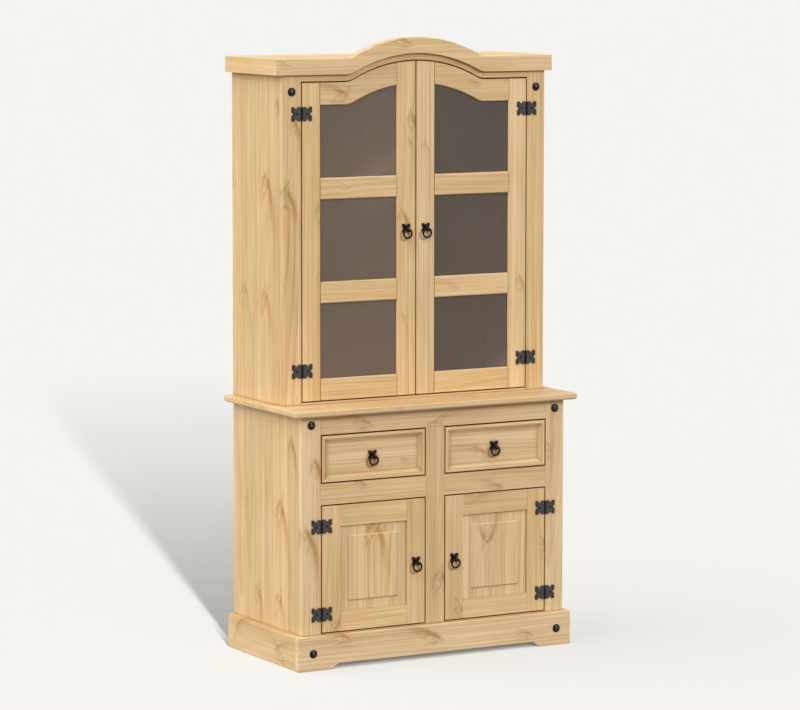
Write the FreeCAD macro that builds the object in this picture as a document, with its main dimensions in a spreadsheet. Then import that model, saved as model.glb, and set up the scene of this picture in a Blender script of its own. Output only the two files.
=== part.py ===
import FreeCAD
import Part
import Sketcher
import math
import os

# Two-part pine hutch dresser: a glazed hutch with a serpentine crown on a base
# with two drawers and two panelled doors, and black iron hinges, nails and rings.
# Frame: +Z up, front faces -Y, +X to the right, origin on the floor under the
# middle of the whole outline. All lengths are in millimetres.

SIZES = {
    # Boards
    "case_thickness": 18,
    "frame_thickness": 20,
    "back_thickness": 6,
    "back_rebate": 9,
    "shelf_thickness": 18,
    "door_gap": 4,
    "stop_clearance": 0.5,
    # Base case and its front frame
    "base_width": 893,
    "base_depth": 445,
    "case_foot_height": 25,
    "floor_lip": 2.5,
    "base_opening_height": 382.5,
    "mid_rail_height": 62.3,
    "drawer_opening_height": 144.4,
    "top_rail_height": 56.3,
    "outer_stile_width": 62,
    "centre_stile_width": 63,
    "base_shelf_height": 176,
    # Plinth
    "plinth_height": 102.5,
    "plinth_thickness": 19.5,
    "plinth_projection": 13,
    "plinth_foot_length": 99,
    "plinth_ogee_length": 42,
    "plinth_cutout_height": 17,
    "plinth_edge_radius": 3,
    # Top board
    "top_thickness": 18,
    "top_overhang_front": 28.5,
    "top_overhang_side": 33,
    "top_nose_radius": 5,
    "top_underside_chamfer": 6,
    # Hutch case and its front frame
    "hutch_side_setback": 0.5,
    "hutch_depth": 326,
    "hutch_stile_width": 61,
    "hutch_sill_height": 6.4,
    "hutch_opening_height": 943.6,
    "fascia_reveal": 19.5,
    "plank_pitch": 88,
    "plank_groove_width": 3,
    "plank_groove_depth": 1.5,
    # Crown and its serpentine line
    "crown_height": 47.4,
    "crown_thickness": 20,
    "crown_projection": 9.5,
    "crown_side_thickness": 22,
    "crown_corner_radius": 6,
    "crown_edge_radius": 3,
    "arch_rise": 58.5,
    "arch_radius": 450,
    "arch_blend_radius": 60,
    # Glazed hutch doors
    "hutch_door_hinge_stile_width": 60,
    "hutch_door_lock_stile_width": 62.7,
    "hutch_bottom_rail_height": 64.5,
    "hutch_top_rail_height": 66.1,
    "glazing_rail_height": 64,
    "lower_pane_share": 0.32865,
    "middle_pane_share": 0.35746,
    "pane_edge_bevel": 3,
    "glass_thickness": 4,
    "glass_recess": 6,
    "glass_play": 0.1,
    "glass_groove_depth": 6,
    "glass_groove_play": 0.5,
    # Panelled base doors
    "base_door_stile_width": 60.5,
    "base_door_top_rail_height": 62.5,
    "base_door_bottom_rail_height": 58.5,
    "panel_thickness": 8,
    "panel_recess": 6,
    "panel_groove_depth": 8,
    "panel_groove_play": 0.5,
    "field_border": 28.5,
    "field_height": 4,
    "field_bevel": 3.5,
    # Drawers
    "drawer_rim": 9,
    "drawer_step_width": 9.5,
    "drawer_step_depth": 5,
    "drawer_field_depth": 10,
    "drawer_cove_radius": 4,
    "drawer_side_thickness": 12,
    "drawer_side_height": 105,
    "drawer_side_lift": 1,
    "drawer_side_inset": 1,
    "drawer_box_length": 380,
    "drawer_bottom_thickness": 5,
    "drawer_bottom_rise": 10,
    "drawer_groove_depth": 6,
    "drawer_groove_play": 0.1,
    # Drawer runners
    "runner_thickness": 18,
    "runner_clearance": 0.3,
    "runner_bearing": 11,
    "runner_guide_width": 18,
    "runner_guide_height": 20,
    "runner_side_play": 1,
    # Iron hinges
    "leaf_length": 33.5,
    "leaf_height": 41,
    "leaf_thickness": 2,
    "leaf_notch_radius": 5.2,
    "leaf_notch_reach": 13.8,
    "leaf_corner_chamfer": 1.2,
    "knuckle_radius": 2.75,
    "knuckle_length": 36,
    "knuckle_clearance": 0.3,
    "pin_radius": 1.2,
    "pin_clearance": 0.05,
    "pin_head_radius": 2,
    "pin_head_height": 1,
    "hutch_hinge_inset": 90,
    "base_hinge_top_inset": 59.5,
    "base_hinge_bottom_inset": 54.5,
    # Domed nail heads
    "nail_radius": 12.5,
    "nail_rim": 1.2,
    "nail_dome": 4,
    "nail_hutch_drop": 49,
    "nail_base_drop": 26,
    "nail_plinth_inset": 49,
    # Ring pulls
    "pull_plate_width": 27.4,
    "pull_plate_height": 26,
    "pull_plate_thickness": 2.5,
    "pull_notch_radius": 5.5,
    "pull_notch_offset": 2,
    "pull_corner_chamfer": 1.5,
    "pull_neck_height": 12,
    "pull_eye_reach": 11,
    "pull_eye_drop": 2.5,
    "pull_eye_radius": 6.4,
    "pull_eye_width": 6.5,
    "ring_radius": 13.5,
    "ring_rod_radius": 2.9,
    "ring_play": 0.8,
    "hutch_pull_rise": 31.2,
    "drawer_pull_rise": 2,
}

NEAR = 0.001
ROUND_SIDES = 12
RING_LENGTHS = 24
RING_SIDES = 8
UNTURNED = FreeCAD.Rotation()
HALF_TURN = FreeCAD.Rotation(FreeCAD.Vector(0, 1, 0), 180)

document = FreeCAD.newDocument("hutch_dresser")
sheet = document.addObject("Spreadsheet::Sheet", "sizes")
subparts = []


class Length:
    """A length with its number and the sheet formula that it comes from."""

    def __init__(self, text, number):
        self.text = text
        self.number = number

    def __float__(self):
        return float(self.number)

    def __neg__(self):
        return Length("-" + self.text, -self.number)

    def __add__(self, other):
        return Length(f"({self.text} + {formula(other)})", self.number + float(other))

    def __sub__(self, other):
        return Length(f"({self.text} - {formula(other)})", self.number - float(other))

    def __mul__(self, factor):
        return Length(f"({self.text} * {formula(factor)})", self.number * float(factor))

    def __truediv__(self, factor):
        return Length(f"({self.text} / {factor})", self.number / factor)


class Sizes:
    """The sheet's cells, each one read as a Length by its name."""


def formula(length):
    return length.text if isinstance(length, Length) else str(length)


def fill_sheet():
    sizes = Sizes()
    for row, (name, number) in enumerate(SIZES.items(), start=1):
        sheet.set(f"A{row}", name)
        sheet.set(f"B{row}", str(number))
        sheet.setAlias(f"B{row}", name)
        setattr(sizes, name, Length("sizes." + name, number))
    document.recompute()
    return sizes


def bind(item, path, length):
    """Tie a property to the sheet, or leave it at its zero."""
    if isinstance(length, Length):
        item.setExpression(path, length.text)


def place(item, x, y, z):
    bind(item, "Placement.Base.x", x)
    bind(item, "Placement.Base.y", y)
    bind(item, "Placement.Base.z", z)


def keep(item):
    """Mark an object as a sub-part that gets its own file."""
    subparts.append(item)
    return item


# Sketches

def new_body(label):
    body = document.addObject("PartDesign::Body", label)
    body.Label = label
    return body


def new_sketch(body, plane, offset=(0, 0, 0)):
    support = [feature for feature in body.Origin.OriginFeatures if feature.Role == plane]
    sketch = body.newObject("Sketcher::SketchObject", body.Name + "_sketch")
    sketch.AttachmentSupport = [(support[0], "")]
    sketch.MapMode = "FlatFace"
    for axis, length in zip("xyz", offset):
        bind(sketch, "AttachmentOffset.Base." + axis, length)
    return sketch


def constrain(sketch, *terms):
    return sketch.addConstraint(Sketcher.Constraint(*terms))


def measure(sketch, length, *terms):
    """Add a dimension whose value comes from the sheet."""
    index = constrain(sketch, *terms, float(length))
    sketch.setExpression(f"Constraints[{index}]", length.text)


def hold(sketch, item, point, axis, distance):
    """Keep a point at a distance from an axis: -1 is across, -2 is up."""
    if float(distance) == 0:
        constrain(sketch, "PointOnObject", item, point, axis)
    elif float(distance) < 0:
        measure(sketch, -distance, "Distance", item, point, axis)
    else:
        measure(sketch, distance, "Distance", item, point, axis)


def draw_line(sketch, start, end):
    return sketch.addGeometry(Part.LineSegment(FreeCAD.Vector(*start, 0), FreeCAD.Vector(*end, 0)))


def draw_arc(sketch, centre, radius, start, end):
    circle = Part.Circle(FreeCAD.Vector(*centre, 0), FreeCAD.Vector(0, 0, 1), radius)
    return sketch.addGeometry(Part.ArcOfCircle(circle, start, end))


def draw_outline(sketch, points):
    """Draw a closed outline of straight lines through points given as lengths."""
    numbers = [(float(x), float(y)) for x, y in points]
    lines = [draw_line(sketch, *pair) for pair in zip(numbers, numbers[1:] + numbers[:1])]
    for line, following in zip(lines, lines[1:] + lines[:1]):
        constrain(sketch, "Coincident", line, 2, following, 1)
    for line, (x, y) in zip(lines, points):
        hold(sketch, line, 1, -2, x)
        hold(sketch, line, 1, -1, y)


def draw_round(sketch, centre, radius, sides=ROUND_SIDES):
    """Draw a small round as a polygon of a few sides, which keeps iron that repeats light."""
    x, y = centre
    points = []
    for index in range(sides):
        turn = 2 * math.pi * (index + 0.5) / sides
        points.append((radius * round(math.cos(turn), 6) + x, radius * round(math.sin(turn), 6) + y))
    draw_outline(sketch, points)


def extrude(body, kind, sketch, length=None, back=False, middle=False):
    """Pad or pocket a sketch; with no length a pocket goes right through."""
    feature = body.newObject("PartDesign::" + kind, body.Name + "_" + kind.lower())
    feature.Profile = sketch
    feature.Reversed = back
    feature.Midplane = middle
    if length is None:
        feature.Type = "ThroughAll"
    else:
        bind(feature, "Length", length)
    sketch.Visibility = False
    return feature


def block(body, kind, corner, extent):
    """Pad or pocket a box, from its lowest corner and its three extents."""
    width, depth, height = extent
    sketch = new_sketch(body, "XY_Plane", corner)
    draw_outline(sketch, [(0, 0), (width, 0), (width, depth), (0, depth)])
    return extrude(body, kind, sketch, height, back=(kind == "Pocket"))


def board(label, corner, extent):
    """A plain board whose body stands at its lowest corner."""
    body = new_body(label)
    block(body, "Pad", (0, 0, 0), extent)
    place(body, *corner)
    return body


# Edges

def edges_where(feature, test):
    document.recompute()
    return [f"Edge{index}" for index, edge in enumerate(feature.Shape.Edges, start=1)
            if test(edge.BoundBox)]


def near(number, length):
    return abs(number - float(length)) < NEAR


def ease(body, kind, size, test):
    """Fillet or chamfer the edges of the body's tip that pass the test."""
    base = body.Tip
    names = edges_where(base, test)
    feature = body.newObject("PartDesign::" + kind, body.Name + "_" + kind.lower())
    feature.Base = (base, names)
    bind(feature, "Radius" if kind == "Fillet" else "Size", size)
    return feature


# Groups and copies

def group(label, members):
    compound = document.addObject("Part::Compound", label)
    compound.Label = label
    compound.Links = members
    return compound


def mirrored(source, label):
    """The same piece on the right of the middle plane."""
    mirror = document.addObject("Part::Mirroring", label)
    mirror.Label = label
    mirror.Source = source
    mirror.Normal = FreeCAD.Vector(1, 0, 0)
    return mirror


def copy_of(source, name, position, turn=UNTURNED):
    """A copy of a pattern piece, turned about its own origin and put in its place."""
    link = document.addObject("App::Link", name)
    link.LinkedObject = source
    link.Placement = FreeCAD.Placement(FreeCAD.Vector(), turn)
    place(link, *position)
    return link


def pair(left, label):
    """A left piece and its mirror image in one node."""
    return keep(group(label, [left, mirrored(left, left.Label + "_right")]))


def both_sides(left, right_label):
    """A left piece and its mirror image as two nodes."""
    keep(left)
    return keep(mirrored(left, right_label))


# Serpentine line of the crown

def serpentine(sketch, level, left, right):
    """Draw the crown's line at a level from left to right; return its two ends."""
    height, start, end = float(level), float(left), float(right)
    rise, crest, blend = float(s.arch_rise), float(s.arch_radius), float(s.arch_blend_radius)
    spread = math.sqrt(rise * (2 * (crest + blend) - rise))
    turn = math.atan2(crest + blend - rise, spread)
    join = crest * math.cos(turn)
    start_turn = math.pi - turn if start < -join else math.acos(start / crest)
    end_turn = turn if end > join else math.acos(end / crest)
    centre = (0, height + rise - crest)
    arc = draw_arc(sketch, centre, crest, end_turn, start_turn)
    measure(sketch, s.arch_radius, "Radius", arc)
    hold(sketch, arc, 3, -2, 0)
    hold(sketch, arc, 3, -1, level + s.arch_rise - s.arch_radius)
    first, last = (arc, 2), (arc, 1)
    if start < -spread:
        curve = draw_arc(sketch, (-spread, height + blend), blend, 1.5 * math.pi, 2 * math.pi - turn)
        flat = draw_line(sketch, (start, height), (-spread, height))
        tie_flat(sketch, flat, 1, curve, level)
        constrain(sketch, "Tangent", flat, 2, curve, 1)
        constrain(sketch, "Tangent", curve, 2, arc, 2)
        first = (flat, 1)
    if end > spread:
        curve = draw_arc(sketch, (spread, height + blend), blend, math.pi + turn, 1.5 * math.pi)
        flat = draw_line(sketch, (spread, height), (end, height))
        tie_flat(sketch, flat, 2, curve, level)
        constrain(sketch, "Tangent", curve, 2, flat, 1)
        constrain(sketch, "Tangent", arc, 1, curve, 1)
        last = (flat, 2)
    return first, last


def tie_flat(sketch, flat, end, curve, level):
    """Set the blend's radius and the height of the flat beside it."""
    measure(sketch, s.arch_blend_radius, "Radius", curve)
    constrain(sketch, "Horizontal", flat)
    hold(sketch, flat, end, -1, level)


def draw_arched(sketch, bottom, top, left, right, curved_bottom):
    """Draw a closed outline whose top, and maybe bottom, is the serpentine line."""
    upper_first, upper_last = serpentine(sketch, top, left, right)
    if curved_bottom:
        lower_first, lower_last = serpentine(sketch, bottom, left, right)
    else:
        base = draw_line(sketch, (float(left), float(bottom)), (float(right), float(bottom)))
        constrain(sketch, "Horizontal", base)
        hold(sketch, base, 1, -1, bottom)
        lower_first, lower_last = (base, 1), (base, 2)
    for lower, upper, side in ((lower_first, upper_first, left), (lower_last, upper_last, right)):
        foot = sketch.getPoint(*lower)
        head = sketch.getPoint(*upper)
        line = draw_line(sketch, (foot.x, foot.y), (head.x, head.y))
        constrain(sketch, "Coincident", line, 1, *lower)
        constrain(sketch, "Coincident", line, 2, *upper)
        constrain(sketch, "Vertical", line)
        hold(sketch, line, 1, -2, side)


def arched(body, kind, levels, sides, front, thickness, curved_bottom=True):
    """Pad or pocket an arched outline, from its front plane backwards."""
    sketch = new_sketch(body, "XZ_Plane", (0, 0, -front if isinstance(front, Length) else 0))
    draw_arched(sketch, *levels, *sides, curved_bottom)
    return extrude(body, kind, sketch, thickness, back=(kind == "Pad"))


# Base

def make_base_sides():
    height = base_case_top - s.case_foot_height
    depth = back_plane - base_case_front
    side = board("base_side_left", (-base_half, base_case_front, s.case_foot_height),
                 (s.case_thickness, depth, height))
    block(side, "Pocket", (s.case_thickness - s.back_rebate, depth - s.back_thickness, 0),
          (s.back_rebate, s.back_thickness, height))
    both_sides(side, "base_side_right")


def make_base_back():
    half = base_half - s.case_thickness + s.back_rebate
    keep(board("base_back", (-half, case_back, s.case_foot_height),
               (half * 2, s.back_thickness, base_case_top - s.case_foot_height)))


def make_base_floor():
    """Floor board whose front lip shows as a thin line over the plinth."""
    floor = board("base_floor", (-base_inner_half, base_case_front, base_floor_top - s.shelf_thickness),
                  (base_inner_half * 2, case_back - base_case_front, s.shelf_thickness))
    inset = base_inner_half - base_opening_outer
    rebate = s.plinth_thickness - s.plinth_projection
    lip = s.frame_thickness - rebate
    block(floor, "Pad", (inset, -lip, 0), (base_opening_outer * 2, lip, s.shelf_thickness))
    block(floor, "Pad", (inset, -s.frame_thickness, s.shelf_thickness - s.floor_lip),
          (base_opening_outer * 2, rebate, s.floor_lip))
    return floor


def make_base_shelves():
    front = base_case_front + s.stop_clearance
    shelf = board("base_shelf", (-base_inner_half, front, base_floor_top + s.base_shelf_height),
                  (base_inner_half * 2, case_back - front, s.shelf_thickness))
    keep(group("base_shelves", [make_base_floor(), shelf]))


def make_base_frame():
    """Stiles and rails of the base's face; the plinth laps the outer stiles."""
    stile_height = base_case_top - s.case_foot_height
    outer = board("base_outer_stile", (-base_half, base_front, s.case_foot_height),
                  (s.outer_stile_width, s.frame_thickness, stile_height))
    block(outer, "Pocket", (0, 0, 0),
          (s.outer_stile_width, s.plinth_thickness - s.plinth_projection,
           s.plinth_height - s.case_foot_height))
    pair(outer, "base_outer_stiles")
    keep(board("base_centre_stile", (-base_opening_inner, base_front, base_floor_top),
               (s.centre_stile_width, s.frame_thickness, top_rail_bottom - base_floor_top)))
    keep(board("base_top_rail", (-base_opening_outer, base_front, top_rail_bottom),
               (base_opening_outer * 2, s.frame_thickness, s.top_rail_height)))
    middle = board("base_middle_rail", (-base_opening_outer, base_front, mid_rail_bottom),
                   (base_opening_width, s.frame_thickness, s.mid_rail_height))
    pair(middle, "base_middle_rails")


def make_runners():
    """Ledge and guide at each side of each drawer, and the divider between them."""
    front = base_case_front + s.stop_clearance
    depth = case_back - front
    ledge_bottom = runner_top - s.runner_thickness
    guide_outer = base_opening_outer - s.door_gap - s.drawer_side_inset + s.runner_side_play
    guide_inner = base_opening_inner + s.door_gap + s.drawer_side_inset - s.runner_side_play
    outer_width = base_inner_half - guide_outer
    outer = board("drawer_runner_outer", (-base_inner_half, front, ledge_bottom),
                  (outer_width + s.runner_side_play + s.runner_bearing, depth, s.runner_thickness))
    block(outer, "Pad", (outer_width - s.runner_guide_width, 0, s.runner_thickness),
          (s.runner_guide_width, depth, s.runner_guide_height))
    divider_half = s.case_thickness / 2
    reach = guide_inner + s.runner_side_play + s.runner_bearing
    inner = board("drawer_runner_inner", (-reach, front, ledge_bottom),
                  (reach - divider_half, depth, s.runner_thickness))
    block(inner, "Pad", (reach - guide_inner, 0, s.runner_thickness),
          (s.runner_guide_width, depth, s.runner_guide_height))
    divider = board("drawer_divider", (-divider_half, base_case_front, mid_rail_bottom),
                    (s.case_thickness, case_back - base_case_front, base_case_top - mid_rail_bottom))
    members = [divider]
    for runner in (outer, inner):
        members += [runner, mirrored(runner, runner.Label + "_right")]
    keep(group("drawer_runners", members))


def make_base_top():
    width = (base_half + s.top_overhang_side) * 2
    depth = s.base_depth + s.top_overhang_front
    top = board("base_top", (-base_half - s.top_overhang_side, base_front - s.top_overhang_front,
                             base_case_top), (width, depth, s.top_thickness))
    ease(top, "Fillet", s.top_nose_radius,
         lambda box: near(box.ZMin, s.top_thickness) and box.YMin < NEAR)
    ease(top, "Chamfer", s.top_underside_chamfer,
         lambda box: near(box.ZMax, 0) and box.YMin < NEAR)
    keep(top)


def make_plinth_front():
    """Front board of the plinth, cut out between its feet with an ogee at each end."""
    half = base_half + s.plinth_thickness
    body = new_body("plinth_front")
    sketch = new_sketch(body, "XZ_Plane")
    width, height = float(half), float(s.plinth_height)
    foot = width - float(s.plinth_foot_length)
    run, rise = float(s.plinth_ogee_length), float(s.plinth_cutout_height)
    radius = (run * run + rise * rise) / (4 * rise)
    swing = math.asin(run / 2 / radius)
    down, up = 1.5 * math.pi, 0.5 * math.pi
    top = draw_line(sketch, (-width, height), (width, height))
    left = draw_line(sketch, (-width, 0), (-width, height))
    right = draw_line(sketch, (width, height), (width, 0))
    foot_left = draw_line(sketch, (-width, 0), (-foot, 0))
    foot_right = draw_line(sketch, (foot, 0), (width, 0))
    roof = draw_line(sketch, (run - foot, rise), (foot - run, rise))
    low_left = draw_arc(sketch, (-foot, radius), radius, down, down + swing)
    high_left = draw_arc(sketch, (run - foot, rise - radius), radius, up, up + swing)
    high_right = draw_arc(sketch, (foot - run, rise - radius), radius, up - swing, up)
    low_right = draw_arc(sketch, (foot, radius), radius, down - swing, down)
    for line in (top, foot_left, foot_right, roof):
        constrain(sketch, "Horizontal", line)
    for line in (left, right):
        constrain(sketch, "Vertical", line)
    for joint in ((left, 2, top, 1), (top, 2, right, 1), (right, 2, foot_right, 2), (left, 1, foot_left, 1)):
        constrain(sketch, "Coincident", *joint)
    for joint in ((foot_left, 2, low_left, 1), (low_left, 2, high_left, 2), (high_left, 1, roof, 1),
                  (roof, 2, high_right, 2), (high_right, 1, low_right, 1), (low_right, 2, foot_right, 1)):
        constrain(sketch, "Tangent", *joint)
    constrain(sketch, "Equal", low_left, high_left)
    constrain(sketch, "Equal", low_right, high_right)
    hold(sketch, foot_left, 1, -1, 0)
    hold(sketch, foot_left, 1, -2, half)
    hold(sketch, foot_right, 1, -1, 0)
    hold(sketch, foot_right, 2, -2, half)
    hold(sketch, top, 1, -1, s.plinth_height)
    hold(sketch, roof, 1, -1, s.plinth_cutout_height)
    hold(sketch, foot_left, 2, -2, half - s.plinth_foot_length)
    hold(sketch, foot_right, 1, -2, half - s.plinth_foot_length)
    hold(sketch, roof, 1, -2, half - s.plinth_foot_length - s.plinth_ogee_length)
    hold(sketch, roof, 2, -2, half - s.plinth_foot_length - s.plinth_ogee_length)
    extrude(body, "Pad", sketch, s.plinth_thickness, back=True)
    place(body, 0, base_front - s.plinth_projection, 0)
    ease(body, "Fillet", s.plinth_edge_radius,
         lambda box: near(box.ZMin, s.plinth_height) and box.YMin < NEAR)
    keep(body)


def make_plinth_sides():
    front = base_front - s.plinth_projection + s.plinth_thickness
    side = board("plinth_side", (-base_half - s.plinth_thickness, front, 0),
                 (s.plinth_thickness, back_plane - front, s.plinth_height))
    ease(side, "Fillet", s.plinth_edge_radius,
         lambda box: near(box.ZMin, s.plinth_height) and box.XMax < NEAR)
    pair(side, "plinth_sides")


# Hutch

def make_hutch_sides():
    height = roof_bottom - base_top_level
    depth = back_plane - hutch_case_front
    side = board("hutch_side_left", (-hutch_half, hutch_case_front, base_top_level),
                 (s.case_thickness, depth, height))
    block(side, "Pocket", (s.case_thickness - s.back_rebate, depth - s.back_thickness, 0),
          (s.back_rebate, s.back_thickness, height))
    both_sides(side, "hutch_side_right")


def make_hutch_back():
    """Back panel with a row of plank grooves on its inner face."""
    half = hutch_half - s.case_thickness + s.back_rebate
    height = roof_bottom - base_top_level
    back = board("hutch_back", (-half, case_back, base_top_level), (half * 2, s.back_thickness, height))
    middle_pitches = math.floor(float(hutch_inner_half) / float(s.plank_pitch))
    sketch = new_sketch(back, "XY_Plane", (half - s.plank_pitch * middle_pitches, 0, 0))
    groove = s.plank_groove_width / 2
    draw_outline(sketch, [(-groove, 0), (groove, 0), (0, s.plank_groove_depth)])
    pocket = extrude(back, "Pocket", sketch, height, back=True)
    pattern = back.newObject("PartDesign::LinearPattern", "plank_grooves")
    pattern.Originals = [pocket]
    pattern.Direction = (sketch, ["H_Axis"])
    bind(pattern, "Length", s.plank_pitch * (2 * middle_pitches))
    pattern.Occurrences = 2 * middle_pitches + 1
    back.Tip = pattern
    keep(back)


def make_hutch_shelves():
    front = hutch_case_front + s.stop_clearance
    depth = case_back - front
    width = hutch_inner_half * 2
    floor = board("hutch_floor", (-hutch_inner_half, front, base_top_level),
                  (width, depth, s.shelf_thickness))
    lip = s.frame_thickness + s.stop_clearance
    block(floor, "Pad", (hutch_inner_half - hutch_opening_half, -lip, 0),
          (hutch_opening_half * 2, lip, s.hutch_sill_height))
    members = [floor]
    for index, rail_bottom in enumerate((lower_rail_bottom, upper_rail_bottom), start=1):
        level = rail_bottom + (s.glazing_rail_height - s.shelf_thickness) / 2
        members.append(board(f"hutch_shelf_{index}", (-hutch_inner_half, front, level),
                             (width, depth, s.shelf_thickness)))
    keep(group("hutch_shelves", members))


def make_hutch_roof():
    front = hutch_case_front + s.stop_clearance
    keep(board("hutch_roof", (-hutch_half, front, roof_bottom),
               (hutch_half * 2, back_plane - front, s.case_thickness)))


def make_hutch_frame():
    """Stiles and fascia of the hutch's face, lapped behind the crown."""
    stile = board("hutch_stile", (-hutch_half, hutch_front, base_top_level),
                  (s.hutch_stile_width, s.frame_thickness, crown_top - base_top_level))
    block(stile, "Pocket", (0, 0, crown_bottom - base_top_level),
          (s.hutch_stile_width, crown_lap, s.crown_height))
    pair(stile, "hutch_stiles")
    fascia = new_body("hutch_fascia")
    sides = (-hutch_opening_half, hutch_opening_half)
    arched(fascia, "Pad", (hutch_opening_top, crown_bottom), sides, 0, crown_lap)
    arched(fascia, "Pad", (hutch_opening_top, crown_top), sides, crown_lap, s.frame_thickness - crown_lap)
    place(fascia, 0, hutch_front, 0)
    keep(fascia)


def make_crown():
    half = hutch_half + s.crown_side_thickness
    front = new_body("crown_front")
    arched(front, "Pad", (crown_bottom, crown_top), (-half, half), 0, s.crown_thickness)
    place(front, 0, hutch_front - s.crown_projection, 0)
    ease(front, "Fillet", s.crown_corner_radius,
         lambda box: near(box.YMax, 0) and near(abs(box.XMin + box.XMax) / 2, half))
    ease(front, "Fillet", s.crown_edge_radius,
         lambda box: box.ZMin > float(crown_top) - NEAR and box.YMin < NEAR)
    keep(front)
    start = hutch_front - s.crown_projection + s.crown_thickness
    side = board("crown_side", (-half, start, crown_bottom),
                 (s.crown_side_thickness, back_plane - start, s.crown_height))
    ease(side, "Fillet", s.crown_edge_radius,
         lambda box: near(box.ZMin, s.crown_height) and box.XMax < NEAR)
    pair(side, "crown_sides")


# Glazed doors, drawn on the left and mirrored to the right

def make_glass_door():
    left, right = -hutch_opening_half + s.door_gap, -s.door_gap / 2
    hinge_stile, lock_stile = s.hutch_door_hinge_stile_width, s.hutch_door_lock_stile_width
    pane_left, pane_right = left + hinge_stile, right - lock_stile
    groove = s.glass_thickness + s.glass_play * 2
    depth = s.glass_groove_depth
    front = s.glass_recess - s.glass_play

    outer = board("hutch_door_outer_stile", (left, hutch_front, hutch_door_bottom),
                  (hinge_stile, s.frame_thickness, hutch_door_height))
    block(outer, "Pocket", (hinge_stile - depth, front, 0), (depth, groove, hutch_door_height))
    ease(outer, "Chamfer", s.pane_edge_bevel,
         lambda box: near(box.XMin, hinge_stile) and box.YMax < NEAR)

    inner = new_body("hutch_door_inner_stile")
    arched(inner, "Pad", (hutch_door_bottom, hutch_door_top), (pane_right, right),
           0, s.frame_thickness, False)
    block(inner, "Pocket", (pane_right, front, hutch_door_bottom),
          (depth, groove, hutch_door_height + s.arch_rise))
    place(inner, 0, hutch_front, 0)
    ease(inner, "Chamfer", s.pane_edge_bevel,
         lambda box: near(box.XMax, pane_right) and box.YMax < NEAR)
    stiles = keep(group("hutch_door_left_stiles", [outer, inner]))

    top = new_body("hutch_door_left_top_rail")
    arched(top, "Pad", (upper_pane_top, hutch_door_top), (pane_left, pane_right), 0, s.frame_thickness)
    arched(top, "Pocket", (upper_pane_top, upper_pane_top + depth), (pane_left, pane_right), front, groove)
    place(top, 0, hutch_front, 0)
    ease(top, "Chamfer", s.pane_edge_bevel,
         lambda box: box.YMax < NEAR and box.XMax - box.XMin > NEAR and box.ZMax < float(hutch_door_top))
    keep(top)

    rails = []
    pane_width = pane_right - pane_left
    for name, bottom, height, sides in (
            ("bottom", hutch_door_bottom, s.hutch_bottom_rail_height, ("upper",)),
            ("lower", lower_rail_bottom, s.glazing_rail_height, ("lower", "upper")),
            ("middle", upper_rail_bottom, s.glazing_rail_height, ("lower", "upper"))):
        rail = board(f"hutch_door_{name}_rail", (pane_left, hutch_front, bottom),
                     (pane_width, s.frame_thickness, height))
        for side in sides:
            start = height - depth if side == "upper" else 0
            edge = height if side == "upper" else 0
            block(rail, "Pocket", (0, front, start), (pane_width, groove, depth))
            ease(rail, "Chamfer", s.pane_edge_bevel,
                 lambda box, edge=edge: near(box.ZMin, edge) and near(box.ZMax, edge) and box.YMax < NEAR)
        rails.append(rail)
    rails_group = keep(group("hutch_door_left_rails", rails))

    panes = []
    reach = depth - s.glass_groove_play
    for name, bottom, height in (("lower", lower_pane_bottom, lower_pane_height),
                                 ("middle", middle_pane_bottom, middle_pane_height)):
        panes.append(board(f"hutch_door_{name}_pane",
                           (pane_left - reach, hutch_front + s.glass_recess, bottom - reach),
                           (pane_width + reach * 2, s.glass_thickness, height + reach * 2)))
    upper = new_body("hutch_door_upper_pane")
    arched(upper, "Pad", (upper_pane_bottom - reach, upper_pane_top + reach),
           (pane_left - reach, pane_right + reach), 0, s.glass_thickness, False)
    place(upper, 0, hutch_front + s.glass_recess, 0)
    glass = keep(group("hutch_door_left_glass", panes + [upper]))

    for piece in (stiles, top, rails_group, glass):
        keep(mirrored(piece, piece.Label.replace("left", "right")))


# Panelled doors, drawn on the left and mirrored to the right

def make_panel_door():
    corner = (-base_opening_outer + s.door_gap, base_front, base_door_bottom)
    stile, depth = s.base_door_stile_width, s.panel_groove_depth
    bottom_rail, top_rail = s.base_door_bottom_rail_height, s.base_door_top_rail_height
    inner_width = front_width - stile * 2
    inner_height = base_door_height - bottom_rail - top_rail

    stiles = []
    for name, start, groove in (("outer", 0, stile - depth), ("inner", front_width - stile, 0)):
        post = board(f"base_door_{name}_stile", (corner[0] + start, *corner[1:]),
                     (stile, s.frame_thickness, base_door_height))
        block(post, "Pocket", (groove, s.panel_recess, 0), (depth, s.panel_thickness, base_door_height))
        stiles.append(post)
    stiles_group = keep(group("base_door_left_stiles", stiles))

    rails = []
    for name, rail, start, groove in (("bottom", bottom_rail, 0, bottom_rail - depth),
                                      ("top", top_rail, base_door_height - top_rail, 0)):
        bar = board(f"base_door_{name}_rail", (corner[0] + stile, corner[1], corner[2] + start),
                    (inner_width, s.frame_thickness, rail))
        block(bar, "Pocket", (0, s.panel_recess, groove), (inner_width, s.panel_thickness, depth))
        rails.append(bar)
    rails_group = keep(group("base_door_left_rails", rails))

    reach = depth - s.panel_groove_play
    panel = board("base_door_left_panel",
                  (corner[0] + stile - reach, corner[1] + s.panel_recess, corner[2] + bottom_rail - reach),
                  (inner_width + reach * 2, s.panel_thickness, inner_height + reach * 2))
    inset = reach + s.field_border
    block(panel, "Pad", (inset, -s.field_height, inset),
          (inner_width - s.field_border * 2, s.field_height, inner_height - s.field_border * 2))
    ease(panel, "Chamfer", s.field_bevel, lambda box: near(box.YMax, -s.field_height))
    keep(panel)

    for piece in (stiles_group, rails_group, panel):
        keep(mirrored(piece, piece.Label.replace("left", "right")))


# Drawers, drawn on the left and mirrored to the right

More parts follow.
